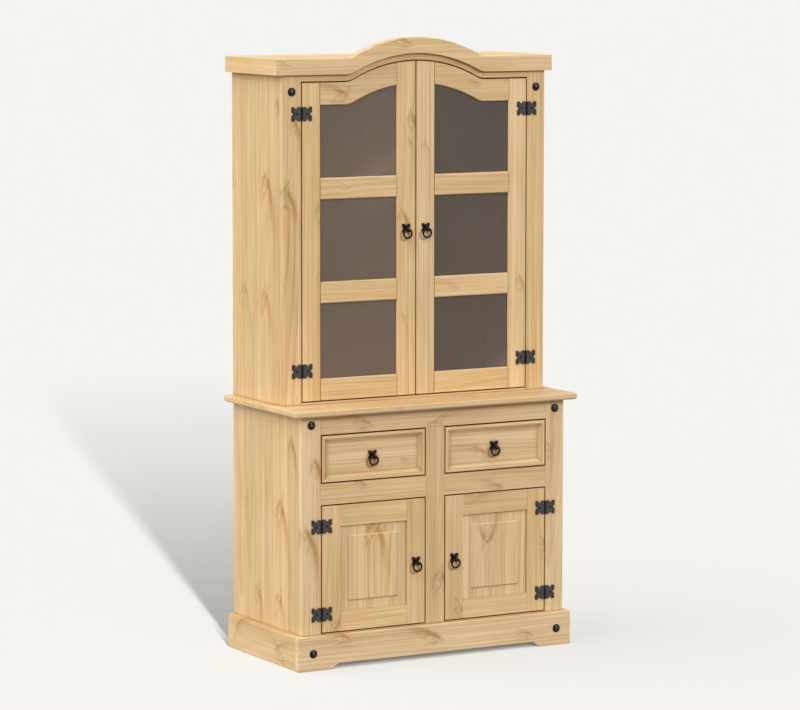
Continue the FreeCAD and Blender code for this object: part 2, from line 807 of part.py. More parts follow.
def make_drawer_front(corner):
    """Front board with a rim, two coved steps and a sunk field."""
    front = board("drawer_left_front", corner, (front_width, s.frame_thickness, drawer_front_height))
    steps = ((s.drawer_rim, s.drawer_step_depth),
             (s.drawer_rim + s.drawer_step_width, s.drawer_field_depth))
    for inset, depth in steps:
        block(front, "Pocket", (inset, 0, inset),
              (front_width - inset * 2, depth, drawer_front_height - inset * 2))
        ease(front, "Fillet", s.drawer_cove_radius, floor_of_step(inset, depth))
    groove_bottom = s.drawer_side_lift + s.drawer_bottom_rise
    groove_start = s.frame_thickness - s.drawer_groove_depth
    side = s.drawer_side_inset + s.drawer_side_thickness - s.drawer_groove_depth
    block(front, "Pocket", (side, groove_start, groove_bottom),
          (front_width - side * 2, s.drawer_groove_depth, drawer_groove))
    return keep(front)


def floor_of_step(inset, depth):
    """Test for the edges round the floor of one step of the drawer front."""
    far = front_width - inset
    high = drawer_front_height - inset

    def test(box):
        on_post = near(box.XMax, inset) or near(box.XMin, far)
        on_rail = near(box.ZMax, inset) or near(box.ZMin, high)
        return near(box.YMin, depth) and near(box.YMax, depth) and (on_post or on_rail)
    return test


def make_drawer():
    corner = (-base_opening_outer + s.door_gap, base_front, mid_rail_top + s.door_gap)
    front = make_drawer_front(corner)
    start = corner[1] + s.frame_thickness
    bottom = corner[2] + s.drawer_side_lift
    left = corner[0] + s.drawer_side_inset
    box_width = front_width - s.drawer_side_inset * 2
    thick, depth = s.drawer_side_thickness, s.drawer_groove_depth
    sides = []
    for name, shift, groove in (("outer", 0, thick - depth), ("inner", box_width - thick, 0)):
        side = board(f"drawer_{name}_side", (left + shift, start, bottom),
                     (thick, s.drawer_box_length, s.drawer_side_height))
        block(side, "Pocket", (groove, 0, s.drawer_bottom_rise), (depth, s.drawer_box_length, drawer_groove))
        sides.append(side)
    lift = s.drawer_bottom_rise + drawer_groove
    back = board("drawer_back_board", (left + thick, start + s.drawer_box_length - thick, bottom + lift),
                 (box_width - thick * 2, thick, s.drawer_side_height - lift))
    box = keep(group("drawer_left_box", sides + [back]))
    reach = depth - s.drawer_groove_play
    floor_level = bottom + s.drawer_bottom_rise + s.drawer_groove_play
    floor = keep(board("drawer_left_bottom", (left + thick - reach, start - reach, floor_level),
                       (box_width - thick * 2 + reach * 2, s.drawer_box_length + reach,
                        s.drawer_bottom_thickness)))
    for piece in (front, box, floor):
        keep(mirrored(piece, piece.Label.replace("left", "right")))


# Iron hinges

def make_leaf(label, knuckles):
    """A butterfly leaf to the left of the hinge axis, with its own knuckles."""
    leaf = new_body(label)
    half = s.leaf_height / 2
    root = s.knuckle_radius + s.knuckle_clearance
    block(leaf, "Pad", (-s.leaf_length, -s.leaf_thickness, -half),
          (s.leaf_length - root, s.leaf_thickness, s.leaf_height))
    ease(leaf, "Chamfer", s.leaf_corner_chamfer,
         lambda box: box.YMax - box.YMin > NEAR and near(box.XMax, -s.leaf_length))
    notches = new_sketch(leaf, "XZ_Plane")
    for centre in ((-s.leaf_notch_reach - s.leaf_notch_radius, half),
                   (-s.leaf_notch_reach - s.leaf_notch_radius, -half),
                   (-s.leaf_length, 0)):
        draw_round(notches, centre, s.leaf_notch_radius)
    extrude(leaf, "Pocket", notches, s.leaf_thickness, back=True)
    for start, length in knuckles:
        barrel = new_sketch(leaf, "XY_Plane", (0, -s.knuckle_radius, start))
        draw_round(barrel, (0, 0), s.knuckle_radius)
        extrude(leaf, "Pad", barrel, length)
        block(leaf, "Pad", (-root, -s.leaf_thickness, start), (root, s.leaf_thickness, length))
    hole = new_sketch(leaf, "XY_Plane", (0, -s.knuckle_radius, -half))
    draw_round(hole, (0, 0), s.pin_radius + s.pin_clearance)
    extrude(leaf, "Pocket", hole, s.leaf_height, back=True)
    return leaf


def make_hinge_pin():
    """Pin with a low head at each end, standing on its own middle."""
    pin = new_body("hinge_pin")
    half = s.knuckle_length / 2 + s.pin_clearance
    for start, length, radius in ((-half - s.pin_head_height, s.pin_head_height, s.pin_head_radius),
                                  (-half, half * 2, s.pin_radius),
                                  (half, s.pin_head_height, s.pin_head_radius)):
        sketch = new_sketch(pin, "XY_Plane", (0, -s.knuckle_radius, start))
        draw_round(sketch, (0, 0), radius)
        extrude(pin, "Pad", sketch, length)
    return pin


def make_hinges():
    half = s.knuckle_length / 2
    share = (s.knuckle_length - s.knuckle_clearance * 2) / 3
    frame_leaf = make_leaf("hinge_frame_leaf", ((-half, share), (half - share, share)))
    door_leaf = make_leaf("hinge_door_leaf", ((-share / 2, share),))
    pin = make_hinge_pin()
    doors = {
        "hutch": (hutch_hinge_axis, hutch_front,
                  (hutch_door_bottom + s.hutch_hinge_inset, hutch_door_top - s.hutch_hinge_inset)),
        "base": (base_hinge_axis, base_front,
                 (base_door_bottom + s.base_hinge_bottom_inset,
                  base_door_bottom + base_door_height - s.base_hinge_top_inset)),
    }
    frame_leaves, pins = [], []
    for door, (axis, front, levels) in doors.items():
        for side, x in (("left", -axis), ("right", axis)):
            door_leaves = []
            for index, level in enumerate(levels):
                name = f"{door}_{side}_{index}"
                spot = (x, front, level)
                turns = (UNTURNED, HALF_TURN) if side == "left" else (HALF_TURN, UNTURNED)
                frame_leaves.append(copy_of(frame_leaf, "frame_leaf_" + name, spot, turns[0]))
                door_leaves.append(copy_of(door_leaf, "door_leaf_" + name, spot, turns[1]))
                pins.append(copy_of(pin, "pin_" + name, spot))
            keep(group(f"{door}_door_{side}_hinge_leaves", door_leaves))
    keep(group("hinge_frame_leaves", frame_leaves))
    keep(group("hinge_pins", pins))


# Nails and ring pulls

def make_nails():
    """Domed nail heads on the stiles and the plinth."""
    head = new_body("nail_head")
    sketch = new_sketch(head, "XY_Plane")
    radius, rim, dome = float(s.nail_radius), float(s.nail_rim), float(s.nail_dome)
    ball = (radius * radius + dome * dome) / (2 * dome)
    crown = rim + dome
    swing = math.asin(radius / ball)
    face = draw_line(sketch, (0, 0), (radius, 0))
    edge = draw_line(sketch, (radius, 0), (radius, -rim))
    arc = draw_arc(sketch, (0, ball - crown), ball, 1.5 * math.pi, 1.5 * math.pi + swing)
    axis = draw_line(sketch, (0, -crown), (0, 0))
    for joint in ((face, 2, edge, 1), (edge, 2, arc, 2), (arc, 1, axis, 1), (axis, 2, face, 1)):
        constrain(sketch, "Coincident", *joint)
    constrain(sketch, "Horizontal", face)
    constrain(sketch, "Vertical", edge)
    hold(sketch, axis, 1, -2, 0)
    constrain(sketch, "Coincident", axis, 2, -1, 1)
    hold(sketch, arc, 3, -2, 0)
    hold(sketch, face, 2, -2, s.nail_radius)
    hold(sketch, edge, 2, -1, s.nail_rim)
    hold(sketch, axis, 1, -1, s.nail_rim + s.nail_dome)
    turned = head.newObject("PartDesign::Revolution", "nail_dome_turned")
    turned.Profile = sketch
    turned.ReferenceAxis = (sketch, ["V_Axis"])
    sketch.Visibility = False
    hutch_x = hutch_half - s.hutch_stile_width / 2
    base_x = base_half - s.outer_stile_width / 2
    plinth_x = base_half + s.plinth_thickness - s.nail_plinth_inset
    spots = ((hutch_x, hutch_front, crown_bottom - s.nail_hutch_drop),
             (base_x, base_front, base_case_top - s.nail_base_drop),
             (plinth_x, base_front - s.plinth_projection, s.plinth_height / 2))
    copies = []
    for index, (x, y, z) in enumerate(spots):
        copies.append(copy_of(head, f"nail_left_{index}", (-x, y, z)))
        copies.append(copy_of(head, f"nail_right_{index}", (x, y, z)))
    keep(group("clavos", copies))


def make_pull_plate():
    """Four-lobed back plate with a finger whose eye holds the ring."""
    plate = new_body("pull_plate")
    half_width, half_height = s.pull_plate_width / 2, s.pull_plate_height / 2
    block(plate, "Pad", (-half_width, -s.pull_plate_thickness, -half_height),
          (s.pull_plate_width, s.pull_plate_thickness, s.pull_plate_height))
    ease(plate, "Chamfer", s.pull_corner_chamfer, lambda box: box.YMax - box.YMin > NEAR)
    notches = new_sketch(plate, "XZ_Plane")
    side, end = half_width + s.pull_notch_offset, half_height + s.pull_notch_offset
    for centre in ((-side, 0), (side, 0), (0, end), (0, -end)):
        draw_round(notches, centre, s.pull_notch_radius)
    extrude(plate, "Pocket", notches, s.pull_plate_thickness, back=True)
    add_finger(plate)
    hole = new_sketch(plate, "YZ_Plane")
    draw_round(hole, (-s.pull_eye_reach, -s.pull_eye_drop), s.ring_rod_radius + s.ring_play)
    extrude(plate, "Pocket", hole, s.pull_eye_width, middle=True)
    return plate


def add_finger(plate):
    """Tapered finger from the plate to a round eye, in side view."""
    sketch = new_sketch(plate, "YZ_Plane")
    reach, drop, radius = float(s.pull_eye_reach), float(s.pull_eye_drop), float(s.pull_eye_radius)
    half, root = float(s.pull_neck_height) / 2, float(s.pull_plate_thickness)
    touches = []
    for sign in (1, -1):
        run, rise = reach - root, drop + sign * half
        turn = math.atan2(rise, run) + sign * math.acos(radius / math.hypot(run, rise))
        touches.append(turn)
    upper, lower = touches
    points = [(radius * math.cos(turn) - reach, radius * math.sin(turn) - drop) for turn in touches]
    eye = draw_arc(sketch, (-reach, -drop), radius, upper, lower + 2 * math.pi)
    over = draw_line(sketch, (-root, half), points[0])
    under = draw_line(sketch, points[1], (-root, -half))
    back = draw_line(sketch, (-root, -half), (-root, half))
    constrain(sketch, "Tangent", over, 2, eye, 1)
    constrain(sketch, "Tangent", eye, 2, under, 1)
    constrain(sketch, "Coincident", under, 2, back, 1)
    constrain(sketch, "Coincident", back, 2, over, 1)
    measure(sketch, s.pull_eye_radius, "Radius", eye)
    hold(sketch, eye, 3, -2, -s.pull_eye_reach)
    hold(sketch, eye, 3, -1, -s.pull_eye_drop)
    for item, point, height in ((back, 1, -s.pull_neck_height / 2), (back, 2, s.pull_neck_height / 2)):
        hold(sketch, item, point, -2, -s.pull_plate_thickness)
        hold(sketch, item, point, -1, height)
    extrude(plate, "Pad", sketch, s.pull_eye_width, middle=True)


def make_ring():
    """Ring of short straight lengths of rod, closed at the middle of its top length."""
    ring = new_body("pull_ring")
    path = new_sketch(ring, "XZ_Plane")
    half = math.pi / RING_LENGTHS
    points = [(0, s.ring_radius)]
    for index in range(RING_LENGTHS):
        turn = math.pi / 2 - half * (2 * index + 1)
        across = round(math.cos(turn) / math.cos(half), 6)
        up = round(math.sin(turn) / math.cos(half), 6)
        points.append((s.ring_radius * across, s.ring_radius * up))
    draw_outline(path, points)
    section = new_sketch(ring, "YZ_Plane")
    draw_round(section, (0, s.ring_radius), s.ring_rod_radius, RING_SIDES)
    rod = ring.newObject("PartDesign::AdditivePipe", "pull_ring_rod")
    rod.Profile = section
    rod.Spine = path
    rod.Transition = "Right corner"
    path.Visibility = False
    section.Visibility = False
    return ring


def make_pulls():
    plate = make_pull_plate()
    ring = make_ring()
    drawer_x = (base_opening_outer + base_opening_inner) / 2
    drawer_z = mid_rail_top + s.drawer_opening_height / 2 + s.drawer_pull_rise
    spots = {
        "hutch_door": ((s.door_gap + s.hutch_door_lock_stile_width) / 2, hutch_front,
                       hutch_door_bottom + hutch_door_height / 2 + s.hutch_pull_rise),
        "base_door": (base_opening_inner + s.door_gap + s.base_door_stile_width / 2, base_front,
                      base_door_bottom + base_door_height / 2),
        "drawer": (drawer_x, base_front + s.drawer_field_depth, drawer_z),
    }
    for owner, (x, y, z) in spots.items():
        for side, across in (("left", -x), ("right", x)):
            label = f"{owner}_{side}"
            keep(group(label + "_pull_plate", [copy_of(plate, label + "_plate_copy", (across, y, z))]))
            centre = z - s.pull_eye_drop - s.ring_radius
            ring_copy = copy_of(ring, label + "_ring_copy", (across, y - s.pull_eye_reach, centre))
            keep(group(label + "_pull_ring", [ring_copy]))


# Places that several pieces share, all worked out from the sheet

s = fill_sheet()

base_half = s.base_width / 2
base_inner_half = base_half - s.case_thickness
back_plane = (s.base_depth + s.top_overhang_front) / 2
base_front = back_plane - s.base_depth
base_case_front = base_front + s.frame_thickness
case_back = back_plane - s.back_thickness

base_floor_top = s.plinth_height + s.floor_lip
mid_rail_bottom = base_floor_top + s.base_opening_height
mid_rail_top = mid_rail_bottom + s.mid_rail_height
top_rail_bottom = mid_rail_top + s.drawer_opening_height
base_case_top = top_rail_bottom + s.top_rail_height
base_top_level = base_case_top + s.top_thickness

base_opening_inner = s.centre_stile_width / 2
base_opening_outer = base_half - s.outer_stile_width
base_opening_width = base_opening_outer - base_opening_inner
front_width = base_opening_width - s.door_gap * 2
base_door_bottom = base_floor_top + s.door_gap
base_door_height = s.base_opening_height - s.door_gap * 2
drawer_front_height = s.drawer_opening_height - s.door_gap * 2
drawer_groove = s.drawer_bottom_thickness + s.drawer_groove_play * 2
runner_top = mid_rail_top + s.door_gap + s.drawer_side_lift - s.runner_clearance
base_hinge_axis = base_opening_outer - s.door_gap / 2

hutch_half = base_half - s.hutch_side_setback
hutch_inner_half = hutch_half - s.case_thickness
hutch_front = back_plane - s.hutch_depth
hutch_case_front = hutch_front + s.frame_thickness
hutch_opening_half = hutch_half - s.hutch_stile_width
hutch_sill_top = base_top_level + s.hutch_sill_height
hutch_opening_top = hutch_sill_top + s.hutch_opening_height
hutch_door_bottom = hutch_sill_top + s.door_gap
hutch_door_top = hutch_opening_top - s.door_gap
hutch_door_height = hutch_door_top - hutch_door_bottom
hutch_hinge_axis = hutch_opening_half - s.door_gap / 2
crown_bottom = hutch_opening_top + s.fascia_reveal
crown_top = crown_bottom + s.crown_height
crown_lap = s.crown_thickness - s.crown_projection
roof_bottom = crown_top - s.case_thickness

rails_height = s.hutch_bottom_rail_height + s.glazing_rail_height * 2 + s.hutch_top_rail_height
panes_height = hutch_door_height - rails_height
lower_pane_height = panes_height * s.lower_pane_share
middle_pane_height = panes_height * s.middle_pane_share
lower_pane_bottom = hutch_door_bottom + s.hutch_bottom_rail_height
lower_rail_bottom = lower_pane_bottom + lower_pane_height
middle_pane_bottom = lower_rail_bottom + s.glazing_rail_height
upper_rail_bottom = middle_pane_bottom + middle_pane_height
upper_pane_bottom = upper_rail_bottom + s.glazing_rail_height
upper_pane_top = hutch_door_top - s.hutch_top_rail_height

make_base_sides()
make_base_back()
make_base_shelves()
make_base_frame()
make_runners()
make_base_top()
make_plinth_front()
make_plinth_sides()
make_hutch_sides()
make_hutch_back()
make_hutch_shelves()
make_hutch_roof()
make_hutch_frame()
make_crown()
make_glass_door()
make_panel_door()
make_drawer()
make_hinges()
make_nails()
make_pulls()
document.recompute()


def check_document():
    """Stop on any object that failed, and on any sub-part with a bad shape."""
    for item in document.Objects:
        if "Invalid" in item.State or "Error" in item.State:
            raise RuntimeError(f"{item.Label} failed: {item.State}")
    for item in subparts:
        if item.Shape.isNull() or not item.Shape.isValid() or not item.Shape.Solids:
            raise RuntimeError(f"{item.Label} has no sound shape")


check_document()
os.makedirs("parts", exist_ok=True)
for item in subparts:
    item.Shape.exportStep(f"parts/{item.Label}.step")
    print(item.Label, len(item.Shape.Solids), round(item.Shape.Volume))
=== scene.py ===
import bmesh
import bpy
import math
import random
from mathutils import Euler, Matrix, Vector


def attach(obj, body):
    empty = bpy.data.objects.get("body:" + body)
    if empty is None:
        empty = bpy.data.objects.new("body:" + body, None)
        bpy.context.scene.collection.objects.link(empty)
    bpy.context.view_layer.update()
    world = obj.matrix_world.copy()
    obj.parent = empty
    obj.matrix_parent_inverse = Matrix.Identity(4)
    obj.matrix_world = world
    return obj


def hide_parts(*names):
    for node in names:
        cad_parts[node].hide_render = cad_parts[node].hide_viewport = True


# Looks of a pine hutch dresser with black iron hinges, nails and ring pulls.
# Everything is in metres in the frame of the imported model: +Z up, the front faces -Y.

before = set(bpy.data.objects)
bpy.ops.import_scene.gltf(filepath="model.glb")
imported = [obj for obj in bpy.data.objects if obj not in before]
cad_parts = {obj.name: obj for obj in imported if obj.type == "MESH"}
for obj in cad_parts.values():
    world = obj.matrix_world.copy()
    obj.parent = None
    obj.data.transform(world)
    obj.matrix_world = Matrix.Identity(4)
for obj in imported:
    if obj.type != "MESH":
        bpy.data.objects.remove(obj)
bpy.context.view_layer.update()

# Camera that took the photograph, solved from the cabinet's straight edges
PHOTO_WIDTH_PX = 800
FOCAL_LENGTH_PX = 3657.2
SENSOR_WIDTH = 36.0
CAMERA_PLACE = Vector((-5.3460, -9.53755, 2.1467))
CAMERA_YAW = math.radians(-29.25)
CAMERA_PITCH = math.radians(-6.57)
CAMERA_ROLL = math.radians(-0.05)
CAMERA_NEAR = 0.1
CAMERA_FAR = 500.0

# Colours in sRGB from 0 to 1
FLOOR_COLOUR = (0.957, 0.953, 0.937)
PINE_LIGHT = (0.922, 0.822, 0.668)
PINE_MIDDLE = (0.864, 0.736, 0.540)
PINE_DARK = (0.707, 0.537, 0.320)
PINE_STREAK = (0.930, 0.835, 0.670)
PINE_KNOT = (0.660, 0.490, 0.300)
# Eased edges: worn, and paler as a painted highlight
PINE_WORN_HIGHLIGHT = (0.900, 0.790, 0.615)
HINGE_IRON = (0.262, 0.260, 0.252)
DARK_IRON_AND_BARREL_SHADE = (0.045, 0.044, 0.042)
BLACK_IRON = (0.050, 0.047, 0.045)
# The two panes are one glass; the left is painted lighter than the right, as painted light
LEFT_GLASS = (0.475, 0.415, 0.365)
RIGHT_GLASS = (0.400, 0.355, 0.320)

# Factors on the linear colour of the wood: some boards are redder or paler, and painted shade is darker
PINE_RED = (1.0, 0.985, 0.945)
PALE_BOARD = (1.06, 1.10, 1.18)
CREAM_BOARD = (1.12, 1.18, 1.32)
PLAIN_BOARD = (1.0, 1.0, 1.0)
PINE_PAINTED_SHADE = (0.56, 0.35, 0.16)

# The pale colour of a pane's painted reflection and haze against its tint, and how much each pane hides
PALE_GLASS = 1.22
GLASS_ALPHA = 0.62

# How much light each surface mirrors at a glance
PINE_SHINE = 0.20
EDGE_SHINE = 0.35
GLASS_SHINE = 0.35

# Studio light, as radiance: an even room, a broad glow above on the left, and a soft key lamp
# in front on the right
ROOM_LIGHT = 0.38
GLOW_LIGHT = 2.95
GLOW_SPREAD = 3.2
GLOW_HEADING = Vector((-0.76, 0.02, 0.65)).normalized()
KEY_LIGHT = 0.465
KEY_HEADING = Vector((0.33, -0.82, 0.47)).normalized()
KEY_ANGLE = math.radians(20)
FLOOR_BOUNCE = 0.26

# The floor glows by itself and takes only part of the room's light, so it stays even.
# Its own row of far lamps, one above the other, draws the shadow that fades to the back.
FLOOR_HALF = 160.0
FLOOR_PAINT = 0.25
FLOOR_GLOW = 0.165
SHADOW_DEPTH = 0.56
SHADOW_STEPS = 20
SHADOW_REACH = 7.5
SHADOW_FADE = 0.625
SHADOW_CASTER_HEIGHT = 1.78
SHADOW_LAMP_ANGLE = math.radians(1.5)
SHADOW_HEADING = math.atan2(0.314, 0.949)

# Eased edges of the boards, of curved boards and of the iron. The rod of a ring swells back
# to the thickness that smoothing takes from it.
BOARD_EASE = 0.0012
CURVE_EASE = 0.0005
IRON_EASE = 0.0006
RING_SWELL = 0.00028
EASE_ANGLE = math.radians(40)
WELD_DISTANCE = 0.00001

# Painted shade darkens the wood in gaps and corners narrower than a reach, edges more than faces
CREVICE_SHADE_REACH = 0.007
PANEL_SHADE_REACH = 0.003
MOULDING_SHADE_REACH = 0.016
BOARD_PAINTED_SHADE = 0.40
EDGE_PAINTED_SHADE = 1.0

# Grain: growth rings, and the weight of each part of the grain in the tone of the wood
RINGS_PER_METRE = 125.0
RING_UNEVENNESS = 3.2
BAND_TONE = 0.28
CLOUD_TONE = 0.20
RING_TONE = 0.28
STREAK_TONE = 0.36
FIBRE_TONE = 0.24
KNOT_SHADE = 0.70
KNOT_STREAK = 0.34
KNOT_CORE = 0.60


def linear(colour):
    """An sRGB colour as the linear RGBA that shaders take."""
    parts = [c / 12.92 if c <= 0.04045 else ((c + 0.055) / 1.055) ** 2.4 for c in colour]
    return (*parts, 1.0)


class Graph:
    """Short ways to add nodes to one node tree."""

    def __init__(self, tree):
        self.tree = tree

    def node(self, kind, **settings):
        made = self.tree.nodes.new(kind)
        for name, value in settings.items():
            setattr(made, name, value)
        return made

    def join(self, source, target):
        self.tree.links.new(source, target)

    def feed(self, socket, value):
        """Link a socket to another one, or set it to a plain value."""
        if isinstance(value, bpy.types.NodeSocket):
            self.join(value, socket)
        else:
            socket.default_value = value

    def math(self, operation, *values, clamp=False):
        made = self.node("ShaderNodeMath", operation=operation, use_clamp=clamp)
        for socket, value in zip(made.inputs, values):
            self.feed(socket, value)
        return made.outputs[0]

    def vector(self, x, y, z):
        made = self.node("ShaderNodeCombineXYZ")
        for socket, value in zip(made.inputs, (x, y, z)):
            self.feed(socket, value)
        return made.outputs[0]

    def split(self, source):
        made = self.node("ShaderNodeSeparateXYZ")
        self.join(source, made.inputs[0])
        return made.outputs

    def noise(self, place, scale, detail, roughness=0.5):
        made = self.node("ShaderNodeTexNoise")
        self.join(place, made.inputs["Vector"])
        made.inputs["Scale"].default_value = scale
        made.inputs["Detail"].default_value = detail
        made.inputs["Roughness"].default_value = roughness
        return made.outputs["Fac"]

    def ramp(self, value, stops):
        """Map a value through (place, colour) stops; a plain number is a grey."""
        made = self.node("ShaderNodeValToRGB")
        elements = made.color_ramp.elements
        while len(elements) < len(stops):
            elements.new(1.0)
        for element, (place, colour) in zip(elements, stops):
            element.position = place
            element.color = colour if isinstance(colour, tuple) else (colour, colour, colour, 1.0)
        self.feed(made.inputs[0], value)
        return made.outputs[0]

    def mix(self, share, first, second, blend="MIX"):
        made = self.node("ShaderNodeMix", data_type="RGBA", blend_type=blend)
        self.feed(made.inputs["Factor"], share)
        self.feed(made.inputs["A"], first)
        self.feed(made.inputs["B"], second)
        return made.outputs["Result"]

    def seen_ray(self):
        """1 for a ray that shows the surroundings, also in iron or glass, and 0 for one that lights."""
        path = self.node("ShaderNodeLightPath").outputs
        seen = self.math("ADD", path["Is Camera Ray"], path["Is Glossy Ray"])
        return self.math("ADD", seen, path["Is Transmission Ray"], clamp=True)

    def bump(self, height, strength, distance):
        made = self.node("ShaderNodeBump")
        made.inputs["Strength"].default_value = strength
        made.inputs["Distance"].default_value = distance
        self.join(height, made.inputs["Height"])
        return made.outputs["Normal"]

    def painted_shade(self, colour, reach, amount):
        """The colour of the wood, with painted shade that darkens it in gaps and corners."""
        shelter = self.node("ShaderNodeAmbientOcclusion", samples=8)
        shelter.inputs["Distance"].default_value = reach
        shade_share = self.ramp(shelter.outputs["AO"], ((0.10, 1.0), (0.60, 0.80), (0.85, 0.50), (0.98, 0.0)))
        return self.mix(self.math("MULTIPLY", shade_share, amount), colour, (*PINE_PAINTED_SHADE, 1.0), "MULTIPLY")


def new_material(name):
    """A material with a graph and its principled shader."""
    material = bpy.data.materials.new(name)
    material.use_nodes = True
    graph = Graph(material.node_tree)
    shader = material.node_tree.nodes["Principled BSDF"]
    return material, graph, shader


# Pine

def make_knot_figure():
    """Node group: one knot with a slanted pale streak, a tan core and a dark arch round its tail."""
    group = bpy.data.node_groups.new("pine_knot", "ShaderNodeTree")
    for name in ("Along", "Across", "Size", "Slant", "Tail", "Lean"):
        group.interface.new_socket(name, in_out="INPUT", socket_type="NodeSocketFloat")
    for name in ("Swell", "Streak", "Core", "Shade"):
        group.interface.new_socket(name, in_out="OUTPUT", socket_type="NodeSocketFloat")
    g = Graph(group)
    along, across, size, slant, tail, lean = g.node("NodeGroupInput").outputs[:6]
    outputs = g.node("NodeGroupOutput").inputs

    def squared(value, share):
        part = g.math("DIVIDE", value, share)
        return g.math("MULTIPLY", part, part)

    def bell(*terms):
        total = terms[0]
        for term in terms[1:]:
            total = g.math("ADD", total, term)
        return g.math("EXPONENT", g.math("MULTIPLY", g.math("MINIMUM", total, 30.0), -1.0))

    wave = g.math("SUBTRACT", g.noise(g.vector(along, across, size), 60.0, 2.0), 0.5)
    run = g.math("DIVIDE", along, size)
    straight = g.math("ADD", g.math("DIVIDE", across, size), g.math("MULTIPLY", wave, 0.8))
    side = g.math("ADD", straight, g.math("MULTIPLY", run, slant))
    swell = g.math("MULTIPLY", bell(squared(run, 2.6), squared(side, 1.5)), size)
    g.join(g.math("MULTIPLY", swell, 0.9), outputs["Swell"])
    oval = g.math("SQRT", g.math("ADD", squared(run, 2.5), squared(side, 0.66)))
    outline = bell(squared(g.math("SUBTRACT", oval, 1.0), 0.30))
    lean_side = g.math("MULTIPLY", g.math("MULTIPLY", side, lean), 0.9)
    shaded_side = g.math("ADD", 0.38, lean_side, clamp=True)
    g.join(bell(squared(oval, 0.80)), outputs["Streak"])
    core = bell(squared(run, 0.50), squared(side, 0.26))
    g.join(g.math("ADD", core, g.math("MULTIPLY", outline, shaded_side)), outputs["Core"])
    down = g.math("MULTIPLY", g.math("MULTIPLY", run, -1.0), g.math("SIGN", tail))
    below = g.math("MAXIMUM", down, 0.0)
    past_top = g.math("ADD", down, 1.3)
    reach = g.math("SQRT", g.math("MAXIMUM", g.math("MULTIPLY", past_top, 1.1), 0.0))
    off_arch = g.math("SUBTRACT", g.math("ABSOLUTE", straight), reach)
    over_top = g.math("MAXIMUM", g.math("MULTIPLY", past_top, -1.0), 0.0)
    width = g.math("ADD", 0.62, g.math("MULTIPLY", below, 0.08))
    arch = bell(squared(off_arch, width), squared(over_top, 0.7))
    fade = g.math("EXPONENT", g.math("MULTIPLY", g.math("MINIMUM", below, 60.0), -0.17))
    leant = g.math("ADD", 0.65, g.math("MULTIPLY", g.math("MULTIPLY", straight, lean), 0.5), clamp=True)
    strength = g.math("MULTIPLY", g.math("ABSOLUTE", tail), leant)
    shade = g.math("MULTIPLY", g.math("MULTIPLY", arch, fade), strength)
    near_knot = g.math("MULTIPLY", bell(squared(run, 2.4), squared(side, 1.3)), 0.18)
    g.join(g.math("ADD", shade, near_knot), outputs["Shade"])
    return group


